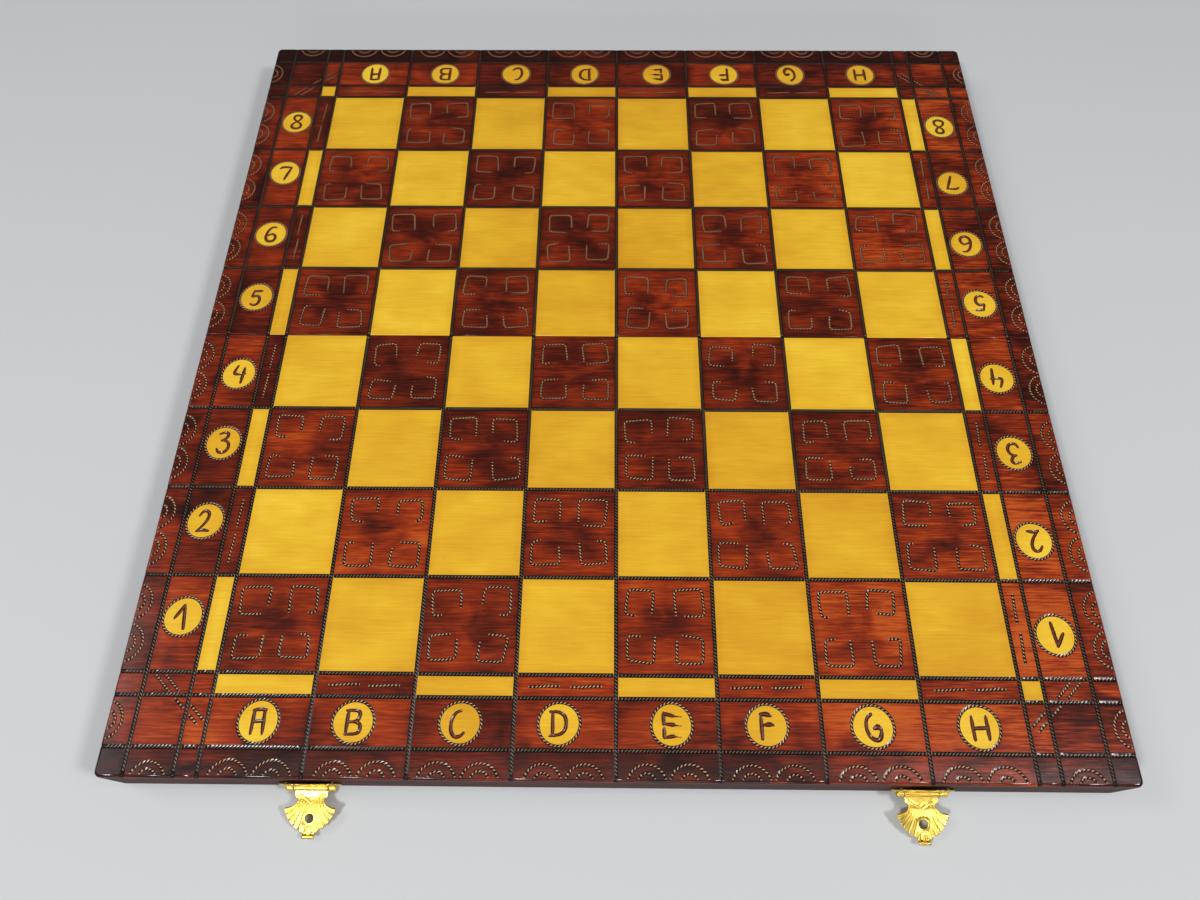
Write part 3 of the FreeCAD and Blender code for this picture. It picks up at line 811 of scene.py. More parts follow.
# How far the hand that cut each disc strayed from the middle of its square, in millimetres along the strip
STRAY = {
    "front": (0.2, -2.6, -0.8, -2.2, 1.7, -1.3, -0.2, 1.1),
    "back": (0.5, 1.0, 1.9, 1.5, 2.8, 1.6, -0.2, 0.0),
    "left": (2.3, 4.2, 1.8, -2.0, 2.0, 1.4, 3.2, 0.4),
    "right": (-2.5, -2.2, -0.8, -2.2, 0.0, -3.1, -2.6, -1.7),
}


def disc_places(board, half):
    """Middle, glyph and turn of each disc in a half: letters along its outer strip, numbers at both sides."""
    _, letter_line, border_line = strip_lines(board)
    middle = (letter_line + border_line) / 2
    strip, sign = ("front", -1) if half < 0 else ("back", 1)
    places = cell_middles(board) + MM * np.array(STRAY[strip])
    discs = [((place, sign * middle), glyph, sign) for place, glyph in zip(places, "ABCDEFGH")]
    for side, turn in (("left", -1), ("right", 1)):
        places = cell_middles(board) + MM * np.array(STRAY[side])
        discs += [((turn * middle, places[rank]), str(rank + 1), turn) for rank in ranks_of(half)]
    return discs


def letter_patch(board, centre, glyph, turn, rng):
    """A square of fine mesh on a disc, with a glyph burnt into it.

    With q the distance to the nearest stroke over its half width, depth is the letter depth times
    1 - q squared, and the burn is full inside the stroke, a little paler in its middle, and fades
    out by q = 1.45. The paler middle is partly the stroke's own tone and partly painted highlight.
    Strokes are thinner towards their ends.
    """
    xs, ys = (np.linspace(-reach, reach, int(2 * reach / board.letter_cell) + 1) for reach in LETTER_REACH)
    grid = np.stack(np.meshgrid(xs, ys, indexing="ij"), axis=-1)
    starts, stops, halves = [], [], []
    for stroke in GLYPHS[glyph]:
        bend = rounded([(*point, 1.0)[:3] for point in stroke], 3)
        fine = np.linspace(0, 1, 3 * len(bend) + 9)
        x, y, breadth = (np.interp(fine, np.linspace(0, 1, len(bend)), column) for column in bend.T)
        points = np.stack([x, y], axis=-1) * MM
        points = points * rng.uniform(0.95, 1.02) + rng.uniform(-0.12, 0.12, 2) * MM
        starts.append(points[:-1])
        stops.append(points[1:])
        taper = 0.72 + 0.5 * np.sin(np.pi * fine[:-1]) ** 0.5
        halves.append(board.letter_width / 2 * breadth[:-1] * taper)
    starts, stops, halves = np.concatenate(starts), np.concatenate(stops), np.concatenate(halves)
    runs = stops - starts
    offset = grid[:, :, None, :] - starts
    share = np.clip((offset * runs).sum(-1) / (runs**2).sum(-1), 0, 1)
    q = (np.linalg.norm(offset - share[..., None] * runs, axis=-1) / halves).min(-1)
    depth = board.letter_depth * np.clip(1 - q**2, 0, 1)
    # The paler middle of a stroke is partly its own tone and partly painted highlight
    burn = np.clip((1.45 - q) / 0.35, 0, 1) * (0.5 + 0.5 * np.clip(q, 0, 1) ** 2)
    inside = np.pad(np.ones(np.array(q.shape) - 2), 1)
    return Tooling(np.array(centre) - turn * grid, depth * inside, burn * inside, False)


def hook(centre, corner, rng):
    """One of a dark square's four hooks: a rounded square, left open at the corner nearest the middle."""
    half = HOOK_HALF * rng.uniform(0.93, 1.05, 2)
    middle = centre + corner * (HOOK_MIDDLE + rng.uniform(-0.7, 0.7, 2) * MM)
    leg, foot = rng.uniform(0.55, 1.0), rng.uniform(0.2, 0.85)
    bulge = rng.uniform(-0.65, 0.65, (4, 2)) * MM
    points = np.array([(-1, 1 - 2 * leg), (-1, 1), (1, 1), (1, -1), (1 - 2 * foot, -1)]) * half
    points[1:] += bulge
    arcs = [points[:1]]
    for before, at, after in zip(points[:-2], points[1:-1], points[2:]):
        a, b = (at + (end - at) / np.linalg.norm(end - at) * HOOK_BEND for end in (before, after))
        t = np.linspace(0, 1, 7)[:, None]
        arcs.append((1 - t) ** 2 * a + 2 * t * (1 - t) * at + t**2 * b)
    arcs.append(points[-1:])
    turn = rng.uniform(-0.08, 0.08)
    spin = np.array([[np.cos(turn), np.sin(turn)], [-np.sin(turn), np.cos(turn)]])
    return middle + (np.concatenate(arcs) @ spin) * corner


def arch(centre, radius, sink, out):
    """Part of a circle that springs from an edge: its middle lies outside by sink, its ends just inside."""
    turn = np.arccos((sink + ARCH_FOOT) / radius)
    angles = np.linspace(-turn, turn, 33)[:, None]
    sideways = np.array([out[1], -out[0]])
    return np.array(centre) + out * sink + radius * (np.sin(angles) * sideways - np.cos(angles) * out)


def hook_paths(board, half, rng):
    """Four hooks in each dark square."""
    centres = cell_middles(board)
    paths = []
    for rank in ranks_of(half):
        for file in range(rank % 2, BOARD_CELLS, 2):
            for corner in ((-1, 1), (1, 1), (1, -1), (-1, -1)):
                middle = np.array([centres[file], centres[rank]])
                paths.append(hook(middle, np.array(corner), rng))
    return paths


def dash_paths(board, half, rng):
    """Two dashes in each dark cell of the narrow strip."""
    inner, letter_line, _ = strip_lines(board)
    strip, centres = (inner + letter_line) / 2, cell_middles(board)
    cells = [((centres[k], half * strip), (1, 0), k + (half < 0)) for k in range(BOARD_CELLS)]
    for k in ranks_of(half):
        cells += [((side * strip, centres[k]), (0, 1), k + (side < 0)) for side in (-1, 1)]
    run = np.linspace(-DASH_HALF, DASH_HALF, 20)[:, None]
    paths = []
    for middle, heading, parity in cells:
        if parity % 2 == 0:
            heading = np.array(heading)
            waver = DASH_WAVER * np.sin(run / (3 * MM)) * heading[::-1]
            for share in (-1, 1):
                start = np.array(middle) + heading * share * DASH_MIDDLE + rng.uniform(-0.4, 0.4, 2) * MM
                paths.append(start + run * heading + waver)
    return paths


def arch_paths(board, half, outer, rng):
    """Two arches, one inside the other, twice along each square on the border and once at its corners."""
    inner, letter_line, border_line = strip_lines(board)
    centres = cell_middles(board)
    paths = []
    for out in np.array([(0, half), (-1, 0), (1, 0)], float):
        cells = [centre for centre in centres if out[0] == 0 or np.sign(centre) == half]
        springs = [centre + shift for centre in cells for shift in (-ARCH_MIDDLE, ARCH_MIDDLE)]
        ends = [end for end in (-1, 1) if out[0] == 0 or end == half]
        springs += [end * (letter_line + border_line) / 2 for end in ends]
        for spring in springs:
            foot = out * outer + np.abs(out[::-1]) * (spring + rng.uniform(-0.35, 0.35) * MM)
            short = 0.93 if abs(spring) > inner else 1.0
            for radii, sink, size in zip(ARCH_RADII, ARCH_SINK, (short, 1.0)):
                paths.append(arch(foot, size * rng.uniform(*radii), sink, out))
    return paths


def slash_paths(board, half):
    """Two slashes over each corner of the board, drawn only between the grooves."""
    inner = strip_lines(board)[0]
    margin = board.groove_width / 2 + 0.42 * board.mark_width
    paths = []
    for side in (-1, 1):
        for shift in (0, SLASH_SPACING):
            start, stop = (inner + end - np.array([shift, 0]) for end in (SLASH_START, SLASH_STOP))
            slash = start + np.linspace(0, 1, 160)[:, None] * (stop - start)
            slash[:, 0] += SLASH_WAVER * np.sin(np.linspace(0, 5, 160))
            paths += clear_runs(slash * (side, half), groove_lines(board), margin)
    return paths


def ring_path(board, centre, rng):
    """The ring round a disc, with two slow wobbles."""
    angles = np.radians(np.arange(0, 360, 6))
    wobble = 1 + 0.012 * np.sin(2 * angles + rng.uniform(0, 6))
    wobble += 0.008 * np.sin(3 * angles + rng.uniform(0, 6))
    return np.array(centre) + (board.ring_radius * wobble * np.stack([np.cos(angles), np.sin(angles)])).T


def rounded_plan(board, half, outer, fold, inset):
    """Outline of one half, moved inwards: from the fold's right end round both corners to its left end."""
    turns = np.radians(np.linspace(0, 90, 9))
    corner = np.stack([np.cos(turns), np.sin(turns)], axis=-1) * (board.corner_radius - inset)
    right = np.concatenate([[(outer - inset, fold)], corner + (outer - board.corner_radius)])
    return np.concatenate([right, (right * (-1, 1))[::-1]]) * (1, half)


def groove_tooling(board, half, outer, fold):
    """The grooves of one half: those across the ranks in one run, and the others in spans between them."""
    lines = groove_lines(board)
    outer_rows, fold_rows = edge_rows(board.edge_radius), edge_rows(board.fold_radius)
    wheel = board.groove_width, board.groove_depth, board.groove_tooth, board.groove_ridge
    runs = []
    for x in lines:
        run = np.array([(x, half * outer), (x, half * fold)])
        runs.append(tooled_line(run, *wheel, ends=(outer_rows, fold_rows)))
    room = board.groove_width / 2 + GROOVE_ROOM
    sides = np.stack([lines - room, lines + room], axis=-1).ravel()
    spans = np.concatenate([[-outer], sides, [outer]]).reshape(-1, 2)
    for y in half * lines[lines > 0.5 * board.square]:
        for start, stop in spans:
            ends = tuple(outer_rows if abs(end) == outer else None for end in (start, stop))
            runs.append(tooled_line(np.array([(start, y), (stop, y)]), *wheel, ends=ends))
    return runs


def half_tooling(board, half, outer, fold, discs):
    """All tooled lines of one half, and a patch of fine mesh for each of its letters and numbers."""
    rng = np.random.default_rng(7 if half < 0 else 19)
    wheel = board.mark_width, board.mark_depth, board.mark_tooth, board.mark_ridge
    lines = groove_tooling(board, half, outer, fold)
    paths = hook_paths(board, half, rng) + dash_paths(board, half, rng) + arch_paths(board, half, outer, rng)
    lines += [tooled_line(path, *wheel) for path in paths + slash_paths(board, half)]
    lines += [tooled_line(ring_path(board, centre, rng), *wheel, closed=True) for centre, _, _ in discs]
    return lines, [letter_patch(board, *disc, rng) for disc in discs]


def tooling_faces(pieces):
    """Quads of each tooled piece, and the loops of points at which it meets the plain wood."""
    quads, loops, first = [], [], 0
    for piece in pieces:
        index = first + np.arange(piece.depth.size).reshape(piece.depth.shape)
        first += piece.depth.size
        if piece.closed:
            loops += [index[:, 0], index[:, -1]]
            index = np.concatenate([index, index[:1]])
        else:
            loops.append(grid_rim(index))
        quads.append(grid_quads(index))
    return quads, loops


def build_half(board, half, outer, fold, discs):
    """Plan, depth, burn and faces of one half of the board, the faces in lots of plain, lines and letters.

    All tooled lines and letter patches are cut out of the half's plan, what is left between them is
    triangulated, and the lines' own grids fill the cuts with shared points.
    """
    lines, patches = half_tooling(board, half, outer, fold, discs)
    pieces = lines + patches
    quads, loops = tooling_faces(pieces)
    outline = rounded_plan(board, half, outer, fold, 0)
    insets = [rounded_plan(board, half, outer, fold, inset) for inset in edge_rows(board.edge_radius)[1:]]
    for inset in edge_rows(board.fold_radius)[1:]:
        insets.append(np.array([(-outer, half * (fold + inset)), (outer, half * (fold + inset))]))
    tooled = np.concatenate([piece.plan.reshape(-1, 2) for piece in pieces])
    points = np.concatenate([tooled, outline] + insets)

    # Triangles between the rims of the tooled pieces, the outline and the rows of the rounded edges
    first = len(tooled)
    used = np.concatenate(loops + [np.arange(first, len(points))])
    to_used = np.full(len(points), -1)
    to_used[used] = np.arange(len(used))
    outline_loop = np.arange(first, first + len(outline))[::half]
    edges, start = [], first + len(outline)
    for inset in insets:
        run = to_used[np.arange(start, start + len(inset))]
        edges.append(np.stack([run[:-1], run[1:]], axis=-1))
        start += len(inset)
    outlines = [to_used[loop].tolist() for loop in [outline_loop] + loops]
    made = delaunay_2d_cdt(points[used].tolist(), np.concatenate(edges).tolist(), outlines, 0, 1e-7, True)
    flat_points, flat_faces, from_points, from_faces = np.array(made[0]), made[2], made[3], made[5]
    # Plain wood lies in the outline alone, or also in a ring's two loops, inside it
    plain = [0 in source and len(source) % 2 == 1 for source in from_faces]
    flat = np.array([face for face, is_plain in zip(flat_faces, plain) if is_plain])

    # The tooled pieces take the triangles' points along their rims, and bring their inner points
    to_final = np.full(len(points), -1)
    origins = np.array([(old, new) for new, group in enumerate(from_points) for old in group])
    to_final[used[origins[:, 0]]] = origins[:, 1]
    inner = np.flatnonzero(to_final[:first] < 0)
    to_final[inner] = len(flat_points) + np.arange(len(inner))
    plan = np.concatenate([flat_points, points[inner]])
    depth, burn = np.zeros(len(plan)), np.zeros(len(plan))
    depth[to_final[:first]] = np.concatenate([piece.depth.ravel() for piece in pieces])
    burn[to_final[:first]] = np.concatenate([piece.burn.ravel() for piece in pieces])
    lots = quads[: len(lines)], quads[len(lines) :]
    return plan, depth, burn, (flat, *(to_final[np.concatenate(lot)] for lot in lots))


def inside_distance(board, plan, outer):
    """How far inside the rounded outer corners each point lies."""
    away = np.abs(plan) - (outer - board.corner_radius)
    beyond = np.hypot(*np.maximum(away, 0).T) + np.minimum(away.max(1), 0)
    return board.corner_radius - beyond


def quarter_drop(distance, radius):
    """How far a quarter round of a radius has dropped at a distance from its edge."""
    return radius - np.sqrt(np.maximum(radius**2 - (radius - np.clip(distance, 0, radius)) ** 2, 0))


def is_yellow(board, plan, discs):
    """Yellow are the squares and the narrow strip's cells where file plus rank is odd, and the discs."""
    inner, letter_line, _ = strip_lines(board)
    cell = np.floor((plan + inner) / board.square)
    cell = np.where(plan < -inner, -1, np.where(plan > inner, BOARD_CELLS, cell))
    yellow = np.all(np.abs(plan) < letter_line, axis=1) & (cell.sum(1) % 2 == 1)
    for centre, _, _ in discs:
        yellow |= np.hypot(*(plan - centre).T) < board.ring_radius
    return yellow


def playing_panel(board, half, materials):
    """One half of the board: its plan lifted to the panel's top, with rounded edges, sides and underside."""
    tray = "front" if half < 0 else "back"
    low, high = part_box(f"{tray}_playing_panel")
    outer, fold = high[0], min(abs(low[1]), abs(high[1]))
    discs = disc_places(board, half)
    plan, depth, burn, top = build_half(board, half, outer, fold, discs)
    flat, line_quads, patch_quads = top
    edge = inside_distance(board, plan, outer)
    from_fold = np.abs(plan[:, 1]) - fold
    drop = np.maximum(quarter_drop(edge, board.edge_radius), quarter_drop(from_fold, board.fold_radius))
    points = np.column_stack([plan, high[2] - drop - depth])

    # Sides of the top's faces that no other face shares, along the outline, carry the panel's sides
    count = len(points)
    sides = [np.stack([lot, np.roll(lot, -1, axis=1)], axis=-1).reshape(-1, 2) for lot in top]
    sides = np.concatenate(sides)
    shared = np.isin(sides @ (count, 1), sides @ (1, count))
    on_edge = (edge < 1e-6) | (from_fold < 1e-6)
    open_sides = sides[~shared & on_edge[sides].all(1)]
    foot_of = np.full(count, -1)
    feet = np.unique(open_sides)
    foot_of[feet] = count + np.arange(len(feet))
    below = points[feet] * (1, 1, 0) + (0, 0, low[2])
    centre = np.array([[0, half * (outer + fold) / 2, low[2]]])
    a, b = open_sides.T
    walls = np.stack([b, a, foot_of[a], foot_of[b]], axis=-1)
    underside = np.stack([foot_of[b], foot_of[a], np.full(len(a), count + len(feet))], axis=-1)
    points = np.concatenate([points, below, centre])

    middles = plan[flat].mean(1)
    on_round = inside_distance(board, middles, outer) < board.edge_radius
    on_round |= np.abs(middles[:, 1]) - fold < board.fold_radius
    tooled, rest = len(line_quads) + len(patch_quads), len(walls) + len(underside)
    smooth = np.concatenate([on_round, np.ones(tooled, bool), np.zeros(rest, bool)])
    mesh = new_mesh(f"{tray}_playing_board", points, [*top, walls, underside], smooth)
    yellow = is_yellow(board, middles, discs)
    kinds = [yellow, np.full(len(line_quads), 2), np.ones(len(patch_quads)), np.full(rest, 3)]
    mesh.polygons.foreach_set("material_index", np.concatenate(kinds).astype(np.int32))
    burns = [np.zeros(flat.size), burn[line_quads.ravel()], burn[patch_quads.ravel()]]
    burns = np.concatenate(burns + [np.zeros(walls.size + underside.size)]).astype(np.float32)
    mesh.attributes.new("burn", "FLOAT", "CORNER").data.foreach_set("value", burns)
    replaced = [f"{tray}_playing_panel"]
    new_piece(f"{tray}_playing_board", f"{tray}_tray", mesh, materials, replaced)


class CHESSBOX_OT_boards(Operator):
    """Builds the two tooled playing panels"""

    bl_idname = "chessbox.boards"
    bl_label = "Playing panels"

    def execute(self, context):
        board = context.scene.chess_box.board
        edge_wood = wall_wood(context.scene.chess_box.tray, "Stained panel edge", 0)
        materials = [stained_wood(board), yellow_wood(board), burnt_wood(board), edge_wood]
        for half in (-1, 1):
            playing_panel(board, half, materials)
        return {"FINISHED"}


# Trays


def wall_wood(tray, name, axis):
    """Dark red-brown stained softwood under thin varnish, with the grain along the stated axis."""
    material, tree = new_material(name)
    streak = pattern(tree, (60, 2.2), 5.0, 0.6, 0.4, axis)
    fibre = pattern(tree, (9, 0.4), 2.0, 0.6, axis=axis)
    blotch = pattern(tree, (20, 8), 3.0, 0.5, 0.3, axis, seed=(6, 1, 2))
    wave = pattern(tree, (16, 8), 1.0, 0.4, axis=axis, seed=(5, 5, 5))
    level = weighed(tree, 0.0, (streak, 0.6), (fibre, 0.25), (blotch, 0.15))
    wood = ramp(tree, level, [(0.3, "180504"), (0.5, tray.wall), (0.7, "6E2410")])
    return varnished(material, wood, fibre, wave, 0.06, 0.03)


def felt_material(tray):
    """Pressed wool felt: no weave, a soft nap with pale fibres, and clouds where the nap lies another way."""
    material, tree = new_material("Wool felt")
    nap = pattern(tree, (0.5, 0.5), 3.0, 0.7)
    fibres = pattern(tree, (2.4, 0.3), 2.0, 0.6, 1.2, turn=0.7)
    cloud = pattern(tree, (35, 35), 2.0, 0.5)
    tone = ramp(tree, nap, [(0.3, "122E1C"), (0.7, tray.felt)])
    tone = mixed(tree, between(tree, fibres, 0.58, 0.7, 0.0, 0.5), tone, "4C7A58")
    inputs = {
        "Base Color": mixed(tree, between(tree, cloud, 0.4, 0.65, 0.0, 0.25), tone, "2C5C3C"),
        "Roughness": 0.95,
        "Specular IOR Level": 0.2,
        "Sheen Weight": 0.5,
        "Sheen Roughness": 0.5,
        "Normal": bump(tree, nap, 0.25 * MM, 0.8, bump(tree, fibres, 0.2 * MM, 0.6)),
    }
    return finish_material(material, inputs)


class CHESSBOX_OT_walls(Operator):
    """Builds the trays' walls with worn edges"""

    bl_idname = "chessbox.walls"
    bl_label = "Tray walls"

    def execute(self, context):
        tray = context.scene.chess_box.tray
        across = wall_wood(tray, "Stained slat across", 0)
        lengthways = wall_wood(tray, "Stained slat lengthways", 1)
        walls = {"outer": across, "spine": across, "left": lengthways, "right": lengthways}
        for side in ("front", "back"):
            for wall, wood in walls.items():
                eased_copy(f"{side}_{wall}_wall", f"{side}_{wall}_slat", tray.wall_bevel, wood)
        return {"FINISHED"}


def felt_sheet(tray, side, material):
    """A felt sheet glued to a tray's floor: flat but for sine ripples, which fade towards its rim."""
    low, high = (np.array(corner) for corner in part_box(f"{side}_felt_lining"))
    u, v = np.meshgrid(np.linspace(0, 1, 97), np.linspace(0, 1, 53), indexing="ij")
    x, y = low[0] + u * (high[0] - low[0]), low[1] + v * (high[1] - low[1])
    ripple = tray.felt_ripple * (np.sin(41 * u + 3 * v) * np.sin(23 * v + 1) + 0.5 * np.sin(17 * u - 9 * v))
    rim = np.clip(np.minimum(np.minimum(u, 1 - u) * 50, np.minimum(v, 1 - v) * 25), 0, 1)
    z = high[2] - 0.05 * MM - np.abs(ripple) * rim * 0.4
    points, faces = sheet(np.stack([x, y, z], axis=-1))
    mesh = new_mesh(f"{side}_felt", points, [faces])
    piece = new_piece(f"{side}_felt", f"{side}_tray", mesh, [material], [f"{side}_felt_lining"])
    solidify(piece, tray.felt_thickness)


class CHESSBOX_OT_linings(Operator):
    """Builds the trays' felt linings"""

    bl_idname = "chessbox.linings"
    bl_label = "Felt linings"

    def execute(self, context):
        tray = context.scene.chess_box.tray
        material = felt_material(tray)
        for side in ("front", "back"):
            felt_sheet(tray, side, material)
        return {"FINISHED"}


# Brass


def brass(name, clean, dull, roughness, share):
    """Yellow brass, stamped and buffed: bright, with fine rubbing marks and patches of tarnish."""
    material, tree = new_material(name)
    patches = pattern(tree, (4.5, 4.5), 4.0, 0.6, 0.6)
    fine = pattern(tree, (2.5, 0.35), 2.0, 0.6, axis=1)
    inputs = {
        "Base Color": mixed(tree, between(tree, patches, 0.54, 0.74, 0.0, share), clean, dull),
        "Metallic": 1.0,
        "Roughness": between(tree, patches, 0.4, 0.8, roughness, roughness + 0.2),
        "Normal": bump(tree, fine, 0.03 * MM, 0.25),
    }
    return finish_material(material, inputs)


class CHESSBOX_OT_hinges(Operator):
    """Dresses the fold hinges, their pins and their screws"""

    bl_idname = "chessbox.hinges"
    bl_label = "Hinges"

    def execute(self, context):
        clasp = context.scene.chess_box.clasp
        material = brass("Satin brass", clasp.hinge, "6E4A22", 0.34, 0.8)
        for side in ("left", "right"):
            for tray in ("front", "back"):
                hinge = f"hinge_{side}_{tray}"
                eased_copy(f"{hinge}_leaf", f"{hinge}_flap", clasp.hinge_bevel, material)
            dress(f"hinge_{side}_pin", material)
        for tray in ("front", "back"):
            dress(f"hinge_screws_{tray}", material)
        return {"FINISHED"}


def lobe_arc(place):
    """A round lobe in each whole step of a place: 1 in its middle, and 0 where it meets the next one."""
    return np.sqrt(np.maximum(1 - (2 * place - 1) ** 2, 0))


def fan_reach(share, lobes, side, tip, notch):
    """Reach of a scalloped fan at a share of its half angle: it falls from tip to side, less its notches."""
    place = (share + 1) / 2 * lobes
    place = np.clip(place - np.floor(np.clip(place, 0, lobes - 1e-9)), 0, 1)
    return tip - (tip - side) * np.abs(share) - notch * (1 - lobe_arc(place))


def flutes(share, lobes):
    """Ribs across a fan: a rounded rib for each lobe, with a finer pair of ribs on it."""
    place = (share + 1) / 2 * lobes % 1
    return 0.65 * lobe_arc(place) + 0.35 * (1 - (2 * (2 * place % 1) - 1) ** 2)


def step(value, low, high):
    """A smooth step from 0 to 1: three times the square less twice the cube."""
    t = np.clip((value - low) / (high - low), 0, 1)
    return t * t * (3 - 2 * t)


def without_hole(points, faces, centre, radius):
    """Leaves a round hole out of a grid; the rim that is pressed round it covers its stepped edge."""
    away = np.hypot(*(points[:, :2] - centre).T)
    faces = faces[(away[faces] > radius).all(1)]
    used, kept = np.unique(faces, return_inverse=True)
    return points[used], kept.reshape(faces.shape)


def tab_level(clasp, across, out, ribs):
    """Height of a tab's upper side over the pin.

    It adds the step of the rise, a crown across the fan, the ribs, and a chevron whose two ridges
    come down from the neck's corners and meet in a crescent.
    """
    line, pressed = 0.3 * MM, 0.2 * MM
    rise = clasp.rise * step(out, clasp.neck_length, clasp.neck_length + clasp.rise_length)
    crown = 0.45 * MM * (1 - (across / clasp.side_reach) ** 2) * step(out, 4 * MM, 9 * MM)
    chevron_out = 5.4 * MM - 0.62 * np.abs(across)
    chevron = np.exp(-(((out - chevron_out) / line) ** 2)) * (1 - step(np.abs(across), 4.2 * MM, 5.2 * MM))
    crescent_away = np.hypot(across - 1.0 * MM, 1.3 * (out - 5.9 * MM)) - 2.7 * MM
    crescent = np.exp(-((crescent_away / line) ** 2)) * step(chevron_out - out, -0.2 * MM, 0.4 * MM)
    hole_away = np.hypot(across, out - clasp.hole_reach) - clasp.hole_radius
    ribs = ribs * step(out - chevron_out, 0.1 * MM, 1.6 * MM) * step(hole_away, 0.6 * MM, 1.8 * MM)
    return clasp.sheet - clasp.barrel + rise + crown + ribs + pressed * np.maximum(chevron, crescent)


def tab_shape(clasp):
    """Top side of a tab in its own frame: across, outwards from the pin, and up.

    Rows run from the rolled barrel's end round the pin, along the neck and out over the fan. Columns
    follow the ribs: each leaves the waist straight out and bends to its place on the scalloped edge,
    as a quadratic curve. The ribs grow towards the edge.
    """
    share = np.linspace(-1, 1, 14 * clasp.lobes + 1)
    inner = clasp.barrel - clasp.sheet
    turns = np.radians(np.linspace(-385, -90, 30))
    roll = swept(share * clasp.neck_half, inner * np.cos(turns), inner * np.sin(turns))

    neck = np.linspace(0, 1, 15)[1:, None]
    waist = np.stack([share * clasp.waist_half, np.full(len(share), clasp.waist_length)])
    reach = fan_reach(share, clasp.lobes, clasp.side_reach, clasp.tip_reach, clasp.notch)
    heading = share * clasp.half_angle
    edge = np.stack([reach * np.sin(heading), clasp.focus + reach * np.cos(heading)])
    bend_across = 5.25 * MM * share * (1 + 0.35 * (1 - share**2))
    bend_out = 10.9 * MM - 3.95 * MM * np.abs(share) ** 0.8
    t = np.linspace(0, 1, 56)[:, None, None]
    fan = (1 - t) ** 2 * waist + 2 * t * (1 - t) * np.stack([bend_across, bend_out]) + t**2 * edge

    across = np.concatenate([share * clasp.neck_half * (1 - 0.03 * neck), fan[:, 0]])
    out = np.concatenate([neck * clasp.neck_length + 0 * share, fan[:, 1]])
    grow = np.concatenate([0 * neck, t[:, 0]])
    ribs = clasp.rib_height * flutes(share, clasp.lobes) * (0.35 + 0.65 * grow)
    flat = np.stack([across, out, tab_level(clasp, across, out, ribs)], axis=-1)
    points, faces = sheet(np.concatenate([roll, flat]))
    return without_hole(points, faces, (0, clasp.hole_reach), clasp.hole_radius + 0.1 * MM)


def eyelet_shape(clasp):
    """Upper side of the smooth rim pressed round a tab's hole: rings of points, from in the hole outwards."""
    turns = np.linspace(0, 2 * np.pi, 48, endpoint=False)
    radius = clasp.hole_radius + np.array([[0.0, 0.0, 0.05, 0.2, 0.42, 0.64, 0.82]]).T * MM
    lift = np.array([[-0.5, -0.1, 0.03, 0.07, 0.08, 0.05, -0.1]]).T * MM
    across = radius * np.cos(turns)
    out = clasp.hole_reach + radius * np.sin(turns)
    index = np.arange(across.size).reshape(across.shape)
    closed = np.concatenate([index, index[:, :1]], axis=1)
    points = np.stack([across, out, tab_level(clasp, across, out, 0) + lift], axis=-1)
    return points.reshape(-1, 3), grid_quads(closed)[:, ::-1]


def lip_shape(clasp):
    """Upper side of the tongue at a tab's tip: straight out, up round a bend, and out as a narrow flange."""
    level = clasp.sheet - clasp.barrel + clasp.rise - 0.25 * MM
    upright = clasp.tongue_reach - 1.25 * MM
    inner, outer = 0.35 * MM, 0.05 * MM + clasp.sheet
    top = level + clasp.lip_height
    first, second = np.radians(np.linspace(-90, 0, 7)), np.radians(np.linspace(180, 90, 7))
    turn_out, turn_up = upright - inner + inner * np.cos(first), level + inner + inner * np.sin(first)
    flange_out, flange_up = upright + outer + outer * np.cos(second), top - outer + outer * np.sin(second)
    out = np.concatenate([[upright - 3 * MM, upright - 1.5 * MM], turn_out, flange_out, [clasp.tongue_reach]])
    up = np.concatenate([[level - 0.1 * MM, level], turn_up, flange_up, [top]])
    return sheet(swept(np.linspace(-1, 1, 9) * clasp.lip_width / 2, out, up))


def placed_tab(points, clasp, side):
    """Turns a tab's own frame by its tilt and moves it to its pin."""
    across, out, up = points.T
    cos, sin = np.cos(clasp.tilt), np.sin(clasp.tilt)
    y = clasp.axis_y - out * cos + up * sin
    z = clasp.axis_z + out * sin + up * cos
    return np.stack([side * clasp.across + across, y, z], axis=-1)


def brass_sheet(name, body, node, points, faces, material, thickness):
    """A piece of formed sheet brass that stands for a CAD node."""
    piece = new_piece(name, body, new_mesh(name, points, [faces]), [material], [node])
    solidify(piece, thickness)


class CHESSBOX_OT_clasp_tabs(Operator):
    """Builds the two shell-shaped clasp tabs"""

    bl_idname = "chessbox.clasp_tabs"
    bl_label = "Clasp tabs"

    def execute(self, context):
        clasp = context.scene.chess_box.clasp
        material = brass("Polished brass", clasp.brass, clasp.tarnish, 0.3, 0.75)
        for name, side in (("left", -1), ("right", 1)):
            points, faces = joined([tab_shape(clasp), lip_shape(clasp), eyelet_shape(clasp)])
            points = placed_tab(points, clasp, side)
            shell, body, node = f"clasp_{name}_shell", f"{name}_clasp_tab", f"clasp_{name}_tab"
            brass_sheet(shell, body, node, points, faces, material, clasp.sheet)
        return {"FINISHED"}


